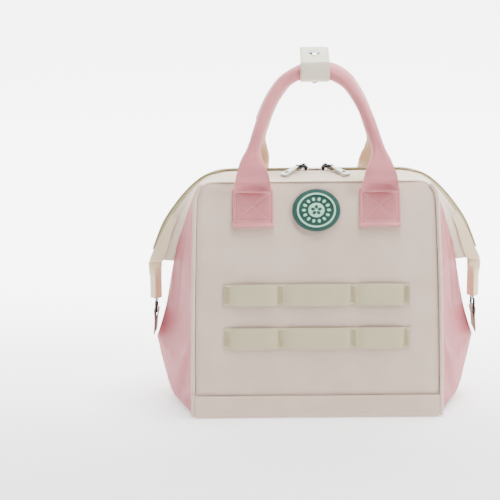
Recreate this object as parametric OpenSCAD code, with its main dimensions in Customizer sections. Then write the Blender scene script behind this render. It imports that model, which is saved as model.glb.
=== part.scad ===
// Frame-mouth nappy bag: a boxy soft bag whose zipped mouth is held by two sewn-in wire frames.
// X runs across the bag, Y from front (-) to rear (+), Z up. The origin is the centre of the footprint.

/* [Body] */
// Width of the base
base_w = 260; // [220:1:300]
// Depth of the base
base_d = 150; // [130:1:170]
// Height of the front and rear panels' top seam
panel_top = 240; // [225:1:250]
// How far each panel leans in at its top seam
lean = 35; // [25:1:40]
// How strongly the lean gathers towards the top
lean_power = 2.4; // [1.6:0.1:3]
// Height of the skirt band round the base
skirt_h = 24; // [16:1:30]
// Thickness of the padded outer cloth
cloth_t = 2; // [1.2:0.1:2.6]
// Thickness of the side cloth
side_t = 1.6; // [1:0.1:2]
// Thickness of the lining
lining_t = 0.7; // [0.5:0.1:1.2]
// Diameter of the piping
piping_d = 4.4; // [3:0.1:5]

/* [Sides] */
// Half width at the point of the side fold
fold_x = 167; // [155:1:172]
// Height of the point of the side fold
fold_z = 68; // [50:1:90]

/* [Mouth] */
// Height of the closed zip above the floor
ridge_z = 245.5; // [242:0.5:250]
// Diameter of the mouth wire
wire_d = 2.8; // [2:0.1:3]
// Diameter of the zip coil
coil_d = 2.2; // [1.8:0.1:2.4]

/* [Handles] */
// Distance from the middle to each handle foot
handle_x = 64; // [56:1:72]
// Width of a handle foot
foot_w = 41; // [36:1:44]
// Diameter of the round grip
grip_d = 15; // [13:0.5:15.5]
// Diameter of the rope core in the grip
core_d = 9; // [6:0.5:10]

/* [Webbing] */
// Length of each front webbing
webbing_l = 188; // [160:1:200]
// Width of each front webbing
webbing_w = 22; // [18:1:24]
// Height of the middle of the upper webbing
webbing_hi = 128; // [120:1:140]
// Height of the middle of the lower webbing
webbing_lo = 84; // [70:1:90]

/* [Badge] */
// Width of the rubber badge
badge_d = 48; // [36:1:50]
// Height of the badge as a share of its width
badge_oval = 0.89; // [0.8:0.01:1]
// Height of the middle of the badge
badge_z = 211; // [200:1:213]

/* [Hidden] */
$fn = 48;

gap = 0.3;                      // clearance between neighbouring bodies
half_w = base_w / 2;
half_d = base_d / 2;
tab_bottom = 194;
tab_top = 230;
tab_t = 3;
hinge_y = 49.5;                 // handle hinge line, in front of the tab
hinge_z = 231;
grip_y = grip_d / 2 + 3;        // half the distance between the two grips
grip_top = 348;                 // height of the grip's centre line at its top
wire_inset = 5;                 // from the placket's zip edge to the wire
placket_t = 1.8;
slider_x = 11;                  // rest position of each slider
ring_z = 96;                    // lower bar of the side ring
ring_x = 166.5;

cream = "#e6dcd0";
pink = "#dca9ac";
webbing_colour = "#d9d5bd";
steel = "#8f9496";

// ---- Curves and surfaces shared by the parts ----

// Outer face of the front panel: its distance in front of the middle at height z.
function face_y(z) = half_d - lean * pow(max(z, 0) / panel_top, lean_power);

// Tilt of that face at height z, in degrees.
function face_tilt(z) = atan(lean * lean_power / panel_top * pow(z / panel_top, lean_power - 1));

// Half width of the panels at height z, to the inside of the piping.
function edge_x(z) = half_w - piping_d / 2 - 3.4 - 5 * pow(z / panel_top, 1.5);

function lerp(a, b, t) = a + (b - a) * t;
function unit(v) = v / norm(v);

// Point t (0 to 1) between p1 and p2 on a Catmull-Rom spline.
function spline_point(p0, p1, p2, p3, t) =
    0.5 * (2 * p1 + (p2 - p0) * t + (2 * p0 - 5 * p1 + 4 * p2 - p3) * t * t
        + (3 * p1 - p0 - 3 * p2 + p3) * t * t * t);

// A smooth curve through the points, with n steps in each span.
function smooth(pts, n) = let (m = len(pts) - 1) [
    for (i = [0:m - 1], k = [0:n - 1])
        spline_point(pts[max(i - 1, 0)], pts[i], pts[i + 1], pts[min(i + 2, m)], k / n),
    pts[m]
];

// A half path that starts at the middle, x = 0, and its mirror image, as one path from left to right.
function both_sides(half) = concat(
    [for (i = [len(half) - 1:-1:1]) [-half[i][0], half[i][1], half[i][2]]], half);

function tangent(path, i) =
    unit(path[min(i + 1, len(path) - 1)] - path[max(i - 1, 0)]);

// Triangles that close one ring of m points, joining each point to the one opposite it.
function end_cap(first, m) = [for (k = [0:m / 2 - 2])
    let (a = first + k, b = first + m - 1 - k) each [[a, b, b - 1], [a, b - 1, a + 1]]];

function flipped(faces) = [for (f = faces) [f[2], f[1], f[0]]];

// Faces of a closed body made of n rings of m points each, m even.
function ring_faces(n, m) = concat(
    end_cap(0, m),
    [for (i = [0:n - 2], k = [0:m - 1])
        let (a = i * m + k, b = i * m + (k + 1) % m) each [[a, b, b + m], [a, b + m, a + m]]],
    flipped(end_cap((n - 1) * m, m)));

// A closed body through a list of rings, each with the same number of points.
module skin(rings) {
    polyhedron([for (r = rings) each r], ring_faces(len(rings), len(rings[0])), convexity = 8);
}

// A round bar of diameter d along a path.
module bar(path, d, sides = 8) {
    skin([for (i = [0:len(path) - 1])
        let (t = tangent(path, i), side = unit(cross(t, [0, 1, 0.02])), up = cross(side, t))
        [for (k = [0:sides - 1])
            path[i] + d / 2 * (cos(360 * k / sides) * side + sin(360 * k / sides) * up)]]);
}

// A sheet t thick between two edges; its thickness goes to the side that the bag's inside is on.
module sheet(edge_a, edge_b, t) {
    skin([for (i = [0:len(edge_a) - 1])
        let (along = tangent(edge_a, i), across = edge_b[i] - edge_a[i],
            inward = unit(cross(along, across)) * -t)
        [edge_a[i], edge_b[i], edge_b[i] + inward, edge_a[i] + inward]]);
}

// ---- Mouth: half paths from the middle of the zip to the end of the right wing ----

// Zip coil.
coil_half = [[0, -1.5, ridge_z], [30, -1.5, ridge_z], [60, -1.5, ridge_z], [86, -1.5, ridge_z],
    [100, -1.5, ridge_z - 2], [111.5, -1.5, ridge_z - 5.6], [122, -1.5, ridge_z - 12.2],
    [133, -1.5, ridge_z - 22.5], [145, -1.5, ridge_z - 37], [158, -1.5, ridge_z - 57],
    [169.5, -1.8, ridge_z - 86]];
// Zip edge of the placket.
outer_half = [[0, -5.5, 245], [30, -5.5, 245], [60, -5.5, 245], [86, -5.5, 245], [99, -5.5, 243],
    [110, -5.6, 239.4], [120, -5.7, 232.5], [131, -5.8, 221.5], [142, -6, 207.5], [155.5, -6, 186.5],
    [170, -6, 151.5]];
// Seam edge of the placket.
inner_half = [[0, -40, panel_top], [30, -40, panel_top], [60, -40, panel_top], [86, -40, panel_top],
    [101, -39.4, 239.8], [112, -37.4, 238.2], [121, -34, 230.5], [128, -28.6, 214],
    [134, -22, 196], [141, -13, 173], [147, -7.5, 150]];

mouth_steps = 3;
coil_path = both_sides(smooth(coil_half, mouth_steps));
outer_path = both_sides(smooth(outer_half, mouth_steps));
inner_path = both_sides(smooth(inner_half, mouth_steps));

// Direction from the zip edge to the seam edge, and the direction into the bag, at station i.
function mouth_across(i) = unit(inner_path[i] - outer_path[i]);
function mouth_inward(i) = unit(cross(tangent(inner_path, i), mouth_across(i)));

// Points a given distance from the placket's zip edge, and a given depth under its outer face.
function under_placket(inset, depth) = [for (i = [0:len(outer_path) - 1])
    outer_path[i] + mouth_across(i) * inset + mouth_inward(i) * depth];

// ---- Side cloth ----

base_point = 143;               // half width at the floor, in the middle of the depth

// Half width of the side fold's crest at height z.
function crest_x(z) = z < fold_z
    ? lerp(base_point, fold_x, pow(z / fold_z, 0.55))
    : z < 150 ? lerp(fold_x, 144.5, pow((z - fold_z) / (150 - fold_z), 0.85))
    : lerp(144.5, 124, (z - 150) / 90);

// The crest is rounded at the base and closes to a fold at the point.
function crest_y(z) = 1.5 + 18 * pow(max(0, 1 - z / fold_z), 2);

// How far out the side cloth is at u: straight low down, fuller towards its top.
function side_fullness(u, z) = 1 - pow(1 - u, 1 + 1.4 * max(0, min(1, (z - 110) / 80)));

// Point on the side cloth: u runs from the front seam (0) to the crest (1), at height z.
function side_point(u, z) = [
    lerp(edge_x(z) + 1.8, crest_x(z), side_fullness(u, z)), lerp(-face_y(z) + 3.6, -crest_y(z), u), z];

// Top edge of the side cloth at u: from the panel's corner down to the wing's end.
function side_top(u, centre_z) = lerp(228, centre_z, u) + 10 * u * (1 - u);

side_columns = [for (k = [0:7]) k / 7];
side_rows = [0, 0.03, 0.07, 0.12, 0.2, 0.3, 0.4, 0.5, 0.6, 0.7, 0.8, 0.9, 1];

// Height of row r of column u: rows pass through the fold's point.
function row_z(r, u, centre_z, bottom) = let (top = side_top(u, centre_z))
    r < 0.4 ? lerp(bottom, fold_z, r / 0.4) : lerp(fold_z, top, (r - 0.4) / 0.6);

// One row across the side cloth, from the front seam over the crest to the rear seam.
function side_row(r, centre_z, bottom, inset) = let (
    front = [for (u = side_columns)
        side_point(u, row_z(r, u, centre_z, bottom)) - [inset, -inset * (1 - u), 0]],
    rear = [for (k = [len(front) - 1:-1:0]) [front[k][0], -front[k][1], front[k][2]]]
) concat(front, rear);

// Cloth from the front seam to the rear seam, as a closed sheet.
module side_sheet(centre_z, bottom, inset, t) {
    skin([for (r = side_rows) let (
            outer = side_row(r, centre_z, bottom, inset),
            inner = side_row(r, centre_z, bottom, inset + t))
        concat(outer, [for (k = [len(inner) - 1:-1:0]) inner[k]])]);
}

// ---- Panels ----

// Side view of a strip that follows the front face between two heights, at two offsets outwards.
module face_profile(z0, z1, out0, out1, steps = 14) {
    heights = [for (k = [0:steps]) lerp(z0, z1, k / steps)];
    polygon(concat(
        [for (z = heights) [-face_y(z) - out0, z]],
        [for (k = [steps:-1:0]) [-face_y(heights[k]) - out1, heights[k]]]));
}

// The strip pulled sideways from x0 to x1.
module face_strip(z0, z1, out0, out1, x0, x1) {
    translate([x0, 0, 0]) rotate([90, 0, 90])
        linear_extrude(x1 - x0) face_profile(z0, z1, out0, out1);
}

corner_r = 15;                  // rounding of the panels' top corners

// Front view of a panel.
module panel_outline(inset, z0, z1) {
    x1 = edge_x(z1) - inset;
    corner = [x1 - corner_r, z1 - inset - corner_r];
    arc_steps = 8;
    half = concat(
        [for (k = [0:6]) let (z = lerp(z0, corner[1], k / 6)) [edge_x(z) - inset, z]],
        [for (k = [1:arc_steps]) let (a = 90 * k / arc_steps) corner + corner_r * [cos(a), sin(a)]]);
    polygon(concat(half, [for (k = [len(half) - 1:-1:0]) [-half[k][0], half[k][1]]]));
}

panel_rim = panel_top - 2.6;    // the cloth stops just under the placket

module panel_cloth(inset, z0, out0, out1) {
    intersection() {
        face_strip(z0, panel_rim, out0, out1, -half_w, half_w);
        rotate([90, 0, 0]) translate([0, 0, -base_d])
            linear_extrude(2 * base_d) panel_outline(inset, z0, panel_rim);
    }
}

module front_panel() { color(cream) panel_cloth(0, skirt_h + gap, 0, -cloth_t); }
module rear_panel() { mirror([0, 1, 0]) front_panel(); }

module front_lining() {
    color("#b9b2aa") panel_cloth(3, skirt_h + 3, -cloth_t - 0.2, -cloth_t - 0.2 - lining_t);
}
module rear_lining() { mirror([0, 1, 0]) front_lining(); }

// Piping up each side of the front panel and into the seam at its top corners.
module front_piping() {
    out = piping_d / 2 + 0.3;
    side = [for (k = [0:8]) let (z = lerp(skirt_h + 3, panel_rim - corner_r, k / 8))
        [edge_x(z) + out, z]];
    centre = [edge_x(panel_rim) - corner_r, panel_rim - corner_r];
    corner = [for (k = [1:5]) centre + (corner_r + out) * [cos(10 * k), sin(10 * k)]];
    color(cream) for (s = [0, 1]) mirror([s, 0, 0])
        bar([for (p = concat(side, corner)) [p[0], -face_y(p[1]) + 0.9, p[1]]], piping_d);
}
module rear_piping() { mirror([0, 1, 0]) front_piping(); }

// ---- Base ----

skirt_out = 1.6;                // the skirt stands this far proud of the panels
skirt_t = 1.8;
base_half = half_w - 5.2;       // half width of the base cloth, inside the corner piping

// Bottom and skirt in one, with a pointed end under each side fold.
module base_panel() {
    r = 5;
    tip_y = half_d - 6;
    tip_half = 16;
    color(cream) {
        translate([-base_half, 0, 0]) rotate([90, 0, 90]) linear_extrude(2 * base_half)
            difference() {
                skirt_profile(half_d + skirt_out, 0, r);
                skirt_profile(half_d + skirt_out - skirt_t, skirt_t, r - skirt_t);
            }
        linear_extrude(skirt_t) for (s = [0, 1]) mirror([s, 0, 0])
            polygon([[0, -tip_y], [base_half, -tip_y], [base_point - 1, -tip_half], [base_point - 1, tip_half],
                [base_half, tip_y], [0, tip_y]]);
    }
}

// Open-topped end view of the base cloth, with round lower edges.
module skirt_profile(half, floor_z, r) {
    polygon(concat([[half, skirt_h + floor_z], [-half, skirt_h + floor_z]],
        [for (k = [0:6]) let (a = 180 + 15 * k) [-half + r, floor_z + r] + r * [cos(a), sin(a)]],
        [for (k = [0:6]) let (a = 270 + 15 * k) [half - r, floor_z + r] + r * [cos(a), sin(a)]]));
}

// Stiff board that lies on the bottom cloth.
module base_board() {
    t = 2.4;
    color("#8c8c8c") translate([0, 0, skirt_t + 0.2]) linear_extrude(t)
        offset_plate(base_w - 22, base_d - 14, 8);
}

module offset_plate(w, d, r) {
    hull() for (x = [-1, 1], y = [-1, 1]) translate([x * (w / 2 - r), y * (d / 2 - r)]) circle(r);
}

module base_lining() {
    color("#b9b2aa") translate([0, 0, skirt_t + 2.9]) linear_extrude(lining_t)
        offset_plate(base_w - 20, base_d - 13, 8);
}

// Short lengths of piping at the four lower corners.
module corner_piping() {
    r = piping_d / 2;
    path = [for (k = [0:4]) let (z = lerp(r + 0.2, skirt_h + 1.6, k / 4))
        [edge_x(z) + r + 0.3, -face_y(z) + 0.9, z]];
    color(cream) for (s = [0, 1], t = [0, 1]) mirror([s, 0, 0]) mirror([0, t, 0]) bar(path, piping_d);
}

// ---- Gussets ----

module right_gusset() { color(pink) side_sheet(150, 2, 0, side_t); }
module left_gusset() { mirror([1, 0, 0]) right_gusset(); }

module right_gusset_lining() {
    color("#b9b2aa") side_sheet(147, 7, side_t + 0.9, lining_t);
}
module left_gusset_lining() { mirror([1, 0, 0]) right_gusset_lining(); }

// ---- Front webbing ----

bartack_x = [-91, -37, 37, 91];
webbing_t = 1.3;
webbing_stand = 0.5;            // stand-off at a bartack, which clears the curved panel
bow = 2.2;                      // how much further a webbing loop stands off the panel

// Sets a part on the front face at height z, its own Y pointing out of the face.
module on_face(z) {
    translate([0, -face_y(z), z]) rotate([-face_tilt(z), 0, 0]) rotate([0, 0, 180]) children();
}

// Plan view of a webbing: flat at each bartack and bowed out between them.
module webbing_plan() {
    half = webbing_l / 2;
    loops = [for (i = [0:2], k = [0:8]) lerp(bartack_x[i] + 4, bartack_x[i + 1] - 4, k / 8)];
    stations = concat([-half], loops, [half]);
    function stand(x) = let (d = min([for (b = bartack_x) abs(x - b)]) - 4)
        webbing_stand + bow * (d > 0 ? 1 - exp(-d / 3) : 0);
    polygon(concat([for (x = stations) [x, stand(x)]],
        [for (k = [len(stations) - 1:-1:0]) [stations[k], stand(stations[k]) + webbing_t]]));
}

module webbing(z) {
    color(webbing_colour) on_face(z) translate([0, 0, -webbing_w / 2])
        linear_extrude(webbing_w) webbing_plan();
}
module upper_webbing() { webbing(webbing_hi); }
module lower_webbing() { webbing(webbing_lo); }

// Dense stitch blocks that hold the webbing down.
module webbing_bartacks() {
    color("#efece0") for (z = [webbing_hi, webbing_lo], x = bartack_x) on_face(z)
        translate([x - 2, webbing_stand + webbing_t + 0.05, 1.5 - webbing_w / 2])
            cube([4, 0.7, webbing_w - 3]);
}

// ---- Badge ----

badge_t = 3;

// Lies on the face, its own Z pointing out, flattened to an oval.
module badge_place() {
    on_face(badge_z) rotate([-90, 0, 0]) scale([1, badge_oval, 1]) children();
}

module badge_base() {
    teeth = 48;
    color("#3f6b60") badge_place() translate([0, 0, 0.9]) {
        cylinder(d = badge_d, h = badge_t - 0.8);
        translate([0, 0, badge_t - 0.8]) cylinder(d1 = badge_d, d2 = badge_d - 1.6, h = 0.8);
        for (k = [0:teeth - 1]) rotate(360 * k / teeth)
            translate([badge_d / 2 - 0.1, 0, badge_t / 2 - 0.4]) cube([1, 1.2, badge_t - 0.8], center = true);
    }
}

// Raised pale marks: a ring, a ring of dots and a plain centre with five round petals left open.
module badge_relief() {
    top = 0.9 + badge_t;
    dots = 14;
    color("#bfe0d0") badge_place() translate([0, 0, top]) {
        difference() {
            cylinder(d = 39.4, h = 0.6);
            translate([0, 0, -1]) cylinder(d = 35.4, h = 3);
        }
        for (k = [0:dots - 1]) rotate(360 * k / dots)
            translate([12.8, 0, 0]) cylinder(d = 3.2, h = 0.6);
        difference() {
            cylinder(d = 16.5, h = 0.6);
            for (k = [0:4]) rotate(90 + 72 * k) translate([3.6, 0, -1]) cylinder(d = 3.2, h = 3);
        }
    }
}

// ---- Handles ----

// A foot sewn flat on the panel, with a rolled lower edge.
module handle_tab(side) {
    x0 = side * handle_x - foot_w / 2;
    color(pink) {
        face_strip(tab_bottom + 3, tab_top, 0.1, tab_t, x0, x0 + foot_w);
        face_strip(tab_bottom, tab_bottom + 5, 0.1, tab_t + 1.8, x0 - 1, x0 + foot_w + 1);
    }
}
module front_left_tab() { handle_tab(-1); }
module front_right_tab() { handle_tab(1); }
module rear_left_tab() { mirror([0, 1, 0]) handle_tab(-1); }
module rear_right_tab() { mirror([0, 1, 0]) handle_tab(1); }

// Centre line of half a handle from its top to its foot: x, y, z, width and depth.
handle_half = [
    [0, -grip_y, grip_top, grip_d, grip_d],
    [17, -grip_y - 0.6, grip_top - 2.6, grip_d, grip_d],
    [32.5, -grip_y - 4.5, 336, 14, grip_d],
    [44, -22.5, 320, 13.4, 14.5],
    [51.8, -30, 304, 13.2, 14],
    [58, -37, 287, 13.2, 14],
    [62.4, -43.5, 272, 14.4, 12],
    [handle_x, -48, 261, 22, 8],
    [handle_x, -50.6, 250, 31, 4.6],
    [handle_x, -51, 240, 36, 3.6],
    [handle_x, -49.6, hinge_z + 1.4, foot_w - 1, 3]];

handle_path = let (half = smooth(handle_half, 3)) concat(
    [for (i = [len(half) - 1:-1:1]) [-half[i][0], half[i][1], half[i][2], half[i][3], half[i][4]]], half);

function point_of(p) = [p[0], p[1], p[2]];

// One ring round the handle: an ellipse where it is a grip, and a flat oval where it is a strap.
function handle_ring(i, sides) = let (
    p = handle_path[i],
    a = point_of(handle_path[max(i - 1, 0)]),
    b = point_of(handle_path[min(i + 1, len(handle_path) - 1)]),
    along = unit(b - a),
    deep = unit([0, 1, 0] - along * along[1]),
    wide = cross(deep, along),
    flat = max(0, min(1, (p[3] - 16) / 16)))
    [for (k = [0:sides - 1]) let (
            c = cos(360 * k / sides), s = sin(360 * k / sides),
            power = lerp(1, 0.35, flat))
        point_of(p) + wide * p[3] / 2 * sign(c) * pow(abs(c), power)
            + deep * p[4] / 2 * sign(s) * pow(abs(s), power)];

// Path of the rope core, inside the round part only.
core_path = [for (p = handle_path) if (p[2] > 283) point_of(p)];

module front_handle() {
    color(pink) difference() {
        skin([for (i = [0:len(handle_path) - 1]) handle_ring(i, 12)]);
        bar(core_path, core_d + 0.5, 12);
    }
}
module rear_handle() { mirror([0, 1, 0]) front_handle(); }

module front_handle_core() {
    color("white") bar([for (i = [1:len(core_path) - 2]) core_path[i]], core_d, 12);
}
module rear_handle_core() { mirror([0, 1, 0]) front_handle_core(); }

// ---- Handle wrap ----

wrap_w = 30;
wrap_t = 1.6;
wrap_r = grip_d / 2 + 1.7;      // inside radius of the sleeve
flap_l = 34;
flap_rise = 22;                 // angle of the free flap above level
flap_y = -grip_y - wrap_r + 0.4;
flap_z = grip_top + grip_d / 2 + 1.2;

// Leather sleeve sewn round the front grip: open only at the top, where the flap starts.
module wrap_sleeve() {
    outer = wrap_r + wrap_t;
    color(cream) translate([-wrap_w / 2, -grip_y, grip_top - 1]) rotate([90, 0, 90])
        linear_extrude(wrap_w) difference() {
            union() {
                circle(outer);
                translate([-outer, 0]) square([wrap_t + 3, wrap_r - 0.8]);
            }
            circle(wrap_r);
            translate([-wrap_r, wrap_r - 3]) square([2 * wrap_r, 10]);
        }
}

// A stiff flap that lies back over both grips.
module wrap_flap() {
    color(cream) flap_frame() translate([-wrap_w / 2, 0.9, -wrap_t / 2]) {
        cube([wrap_w, flap_l - 0.9, wrap_t]);
        translate([0, 0, wrap_t / 2]) rotate([0, 90, 0]) cylinder(d = wrap_t, h = wrap_w);
    }
}

module flap_frame() {
    translate([0, flap_y, flap_z]) rotate([flap_rise, 0, 0]) children();
}

snap_at = 20;                   // from the flap's root to its snap
module snap_cap() {
    color(steel) flap_frame() translate([0, snap_at, wrap_t / 2]) {
        cylinder(d = 11, h = 0.8);
        translate([0, 0, 0.8]) cylinder(d1 = 11, d2 = 8.4, h = 0.7);
    }
}
module snap_socket() {
    color(steel) flap_frame() translate([0, snap_at, -wrap_t / 2 - 1.2]) difference() {
        cylinder(d = 9, h = 1.2);
        translate([0, 0, -1]) cylinder(d = 4.6, h = 2);
    }
}

// The other half of the snap, under the sleeve and turned a little to the front.
stud_turn = 20;
module snap_stud() {
    color(steel) translate([0, -grip_y, grip_top - 1]) rotate([180 + stud_turn, 0, 0])
        translate([0, 0, wrap_r + wrap_t + 0.02]) {
            cylinder(d = 8, h = 0.6);
            cylinder(d = 4, h = 1.7);
        }
}

// ---- Mouth parts ----

module front_placket() { color(cream) sheet(inner_path, outer_path, placket_t); }
module rear_placket() { mirror([0, 1, 0]) front_placket(); }

module front_wire() {
    path = under_placket(wire_inset, placket_t + wire_d / 2 + 0.5);
    color(steel) bar([for (i = [1:len(path) - 2]) path[i]], wire_d);
}
module rear_wire() { mirror([0, 1, 0]) front_wire(); }

// Tape from under the placket's edge to the coil, low enough for the sliders to pass over it.
module front_zip_tape() {
    last = len(coil_path) - 2;
    under = under_placket(2.6, placket_t + 1.2);
    at_coil = [for (i = [0:last]) let (n = mouth_inward(i))
        coil_path[i] - [0, 0.9, 0] + unit([n[0], 0, n[2]]) * (slot_half + plate_t + 0.3)];
    color("#ddd6c2") sheet([for (i = [1:last]) under[i]], [for (i = [1:last]) at_coil[i]], 0.5);
}
module rear_zip_tape() { mirror([0, 1, 0]) front_zip_tape(); }

coil_start = 13;                // the coils start beside the sliders

module front_zip_coil() {
    n = len(coil_path);
    half = [for (i = [0:n - 2]) if (coil_path[i][0] > coil_start + 2) coil_path[i]];
    path = concat([[coil_start, half[0][1], half[0][2]]], half);
    color("#c9c0a4") for (s = [0, 1]) mirror([s, 0, 0]) bar(path, coil_d, 8);
}
module rear_zip_coil() { mirror([0, 1, 0]) front_zip_coil(); }

// ---- Sliders and pulls ----

plate_t = 1;
slot_half = coil_d / 2 + 0.25;
rod_r = 0.75;                   // wire of the link
rod_clear = 0.05;               // round the link's rods
arch_r = 3.2;                   // the slider's arch, seen from the front
arch_gap = 2.2;                 // half width of the arch's opening
arch_w = 1;
yaw = 50;                       // the link points outwards and this far to the front
link_rise = 2;
link_l = 9;                     // between the link's two rods
link_half = 3.6;
link_bend = 1.4;
arch_foot = 0.3;                // below the arch's opening
link_z = ridge_z + slot_half + plate_t + arch_foot + rod_clear + rod_r;
pull_l = 26;
pull_w = 9;
pull_t = 1.8;
pull_drop = 15;                 // the pull lies this much flatter than the link

// Two plates joined by a post behind the front coil, with an arch on top that holds the link.
module slider(side) {
    color(steel) translate([side * slider_x, 0, ridge_z]) {
        for (z = [slot_half, -slot_half - plate_t]) translate([0, 0, z]) linear_extrude(plate_t)
            hull() {
                translate([side * 3.5, 0]) square([2, 6], center = true);
                translate([-side * 3.5, 0]) square([2, 8.6], center = true);
            }
        translate([-side * 2, 1, 0]) cube([3, 2.2, 2 * slot_half + 0.2], center = true);
        translate([0, arch_w / 2, slot_half + plate_t]) rotate([90, 0, 0]) linear_extrude(arch_w)
            difference() {
                intersection() {
                    circle(arch_r);
                    translate([-arch_r, -0.2]) square([2 * arch_r, 2 * arch_r]);
                }
                translate([-arch_gap, arch_foot]) square([2 * arch_gap, 2 * (rod_r + rod_clear)]);
            }
    }
}
module left_slider() { slider(-1); }
module right_slider() { slider(1); }

// Places a part at the link's inner rod, its own X pointing along the link.
module link_frame(side) {
    mirror([side < 0 ? 1 : 0, 0, 0]) translate([slider_x, 0, link_z])
        rotate([0, 0, -yaw]) rotate([0, -link_rise, 0]) children();
}

// A rectangular loop of round wire lying flat, from x = 0 to x = l, with rounded corners.
module wire_loop(l, half, r, bend) {
    for (x = [0, l]) translate([x, half - bend, 0]) rotate([90, 0, 0])
        cylinder(r = r, h = 2 * (half - bend));
    for (y = [-half, half]) translate([bend, y, 0]) rotate([0, 90, 0])
        cylinder(r = r, h = l - 2 * bend);
    for (c = [[l - bend, half - bend, 0], [bend, half - bend, 90],
            [bend, bend - half, 180], [l - bend, bend - half, 270]])
        translate([c[0], c[1], 0]) rotate(c[2]) rotate_extrude(angle = 90)
            translate([bend, 0]) circle(r);
}

// Wire link between the slider's arch and the pull.
module link(side) {
    color("#3b3f42") link_frame(side) wire_loop(link_l, link_half, rod_r, link_bend);
}
module left_link() { link(-1); }
module right_link() { link(1); }

// Flat pull with a slot near its end, and a round eye that turns on the link's outer rod.
module pull(side) {
    eye_w = 2 * (link_half - link_bend) - 0.2;
    eye_r = rod_r + 1;
    color("#d5d9d8") link_frame(side) translate([link_l, 0, 0]) rotate([0, pull_drop, 0])
        difference() {
            union() {
                translate([0, eye_w / 2, 0]) rotate([90, 0, 0]) cylinder(r = eye_r, h = eye_w);
                translate([0, 0, -pull_t / 2]) linear_extrude(pull_t) hull() {
                    translate([1, 0]) square([2, eye_w], center = true);
                    translate([pull_l - 1.5, pull_w / 2 - 1.5]) circle(1.5);
                    translate([pull_l - 1.5, 1.5 - pull_w / 2]) circle(1.5);
                }
            }
            translate([0, pull_w, 0]) rotate([90, 0, 0]) cylinder(r = rod_r + rod_clear, h = 2 * pull_w);
            translate([pull_l - 9, -2.2, -pull_t]) cube([5, 4.4, 2 * pull_t]);
        }
}
module left_pull() { pull(-1); }
module right_pull() { pull(1); }

// ---- Wing ends, side straps and rings ----

cap_top = 148.4;
cap_h = 7;

module right_end_cap() {
    color(cream) translate([160, 0, cap_top - cap_h]) linear_extrude(cap_h) hull() {
        translate([1.5, 0]) circle(1.5);
        translate([11, 0]) circle(3);
    }
}
module left_end_cap() { mirror([1, 0, 0]) right_end_cap(); }

strap_t = 1.4;
strap_top = cap_top - cap_h - gap;
strap_bottom = ring_z + 12.6;

// Webbing folded lengthways, its fold to the front.
module right_strap() {
    half = 7;
    edge = half - strap_t * 1.2;
    color("#e2d6bf") translate([ring_x + 0.6, 0, strap_bottom]) linear_extrude(strap_top - strap_bottom)
        polygon([[-half, 5], [0, -4], [half, 5], [edge, 5.6], [0, -1.8], [-edge, 5.6]]);
}
module left_strap() { mirror([1, 0, 0]) right_strap(); }

ring_r = 1.2;
ring_w = 22;
ring_h = 11;

// Rectangular ring whose lower bar turns in the anchor tab.
module right_ring() {
    color("#4a443c") translate([ring_x, 0, ring_z]) rotate([0, -90, 0])
        wire_loop(ring_h, ring_w / 2, ring_r, 2.4);
}
module left_ring() { mirror([1, 0, 0]) right_ring(); }

// Short webbing loop from the fold's point up to the ring.
module right_anchor_tab() {
    tab_w = 18;
    loop_r = ring_r + 1.6;
    color("#b09a86") difference() {
        translate([0, tab_w / 2, 0]) rotate([90, 0, 0]) linear_extrude(tab_w) hull() {
            translate([ring_x, ring_z]) circle(loop_r);
            translate([fold_x + 1.4, fold_z + 3]) circle(1);
        }
        translate([ring_x, base_d / 2, ring_z]) rotate([90, 0, 0]) cylinder(r = ring_r + 0.1, h = base_d);
    }
}
module left_anchor_tab() { mirror([1, 0, 0]) right_anchor_tab(); }

// ---- Drawing ----

base_panel();
base_board();
base_lining();
corner_piping();
left_gusset();
right_gusset();
left_gusset_lining();
right_gusset_lining();
front_panel();
rear_panel();
front_lining();
rear_lining();
front_piping();
rear_piping();
upper_webbing();
lower_webbing();
webbing_bartacks();
badge_base();
badge_relief();
front_left_tab();
front_right_tab();
rear_left_tab();
rear_right_tab();
front_placket();
rear_placket();
front_wire();
rear_wire();
front_zip_tape();
rear_zip_tape();
front_zip_coil();
rear_zip_coil();
left_slider();
right_slider();
left_link();
right_link();
left_pull();
right_pull();
left_end_cap();
right_end_cap();
left_strap();
right_strap();
left_ring();
right_ring();
left_anchor_tab();
right_anchor_tab();
front_handle();
rear_handle();
front_handle_core();
rear_handle_core();
wrap_sleeve();
wrap_flap();
snap_cap();
snap_socket();
snap_stud();
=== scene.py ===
import math
import bpy
import numpy as np
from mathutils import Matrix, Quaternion, Vector


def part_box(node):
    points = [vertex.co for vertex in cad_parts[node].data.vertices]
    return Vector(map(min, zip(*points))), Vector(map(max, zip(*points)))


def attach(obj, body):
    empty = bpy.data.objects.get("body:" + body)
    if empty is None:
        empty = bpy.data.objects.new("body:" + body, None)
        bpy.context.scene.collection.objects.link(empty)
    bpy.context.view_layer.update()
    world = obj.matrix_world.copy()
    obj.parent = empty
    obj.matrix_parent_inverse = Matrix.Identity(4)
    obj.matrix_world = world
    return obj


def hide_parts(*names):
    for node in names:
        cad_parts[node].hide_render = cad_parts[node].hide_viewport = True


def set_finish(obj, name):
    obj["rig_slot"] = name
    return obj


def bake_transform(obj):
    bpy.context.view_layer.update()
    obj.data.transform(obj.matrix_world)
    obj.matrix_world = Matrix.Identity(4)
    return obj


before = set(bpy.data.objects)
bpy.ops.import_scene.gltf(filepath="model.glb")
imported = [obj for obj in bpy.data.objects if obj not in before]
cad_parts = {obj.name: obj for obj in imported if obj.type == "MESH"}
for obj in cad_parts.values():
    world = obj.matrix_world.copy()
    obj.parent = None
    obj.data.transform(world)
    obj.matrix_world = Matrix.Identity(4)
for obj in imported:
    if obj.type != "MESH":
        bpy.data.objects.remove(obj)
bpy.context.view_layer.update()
MM = 0.001

# ---------------------------------------------------------------- sizes, read from the frame


def box(node):
    """A node's lowest and highest corners at rest."""
    low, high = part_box(node)
    return np.array(low), np.array(high)


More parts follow.
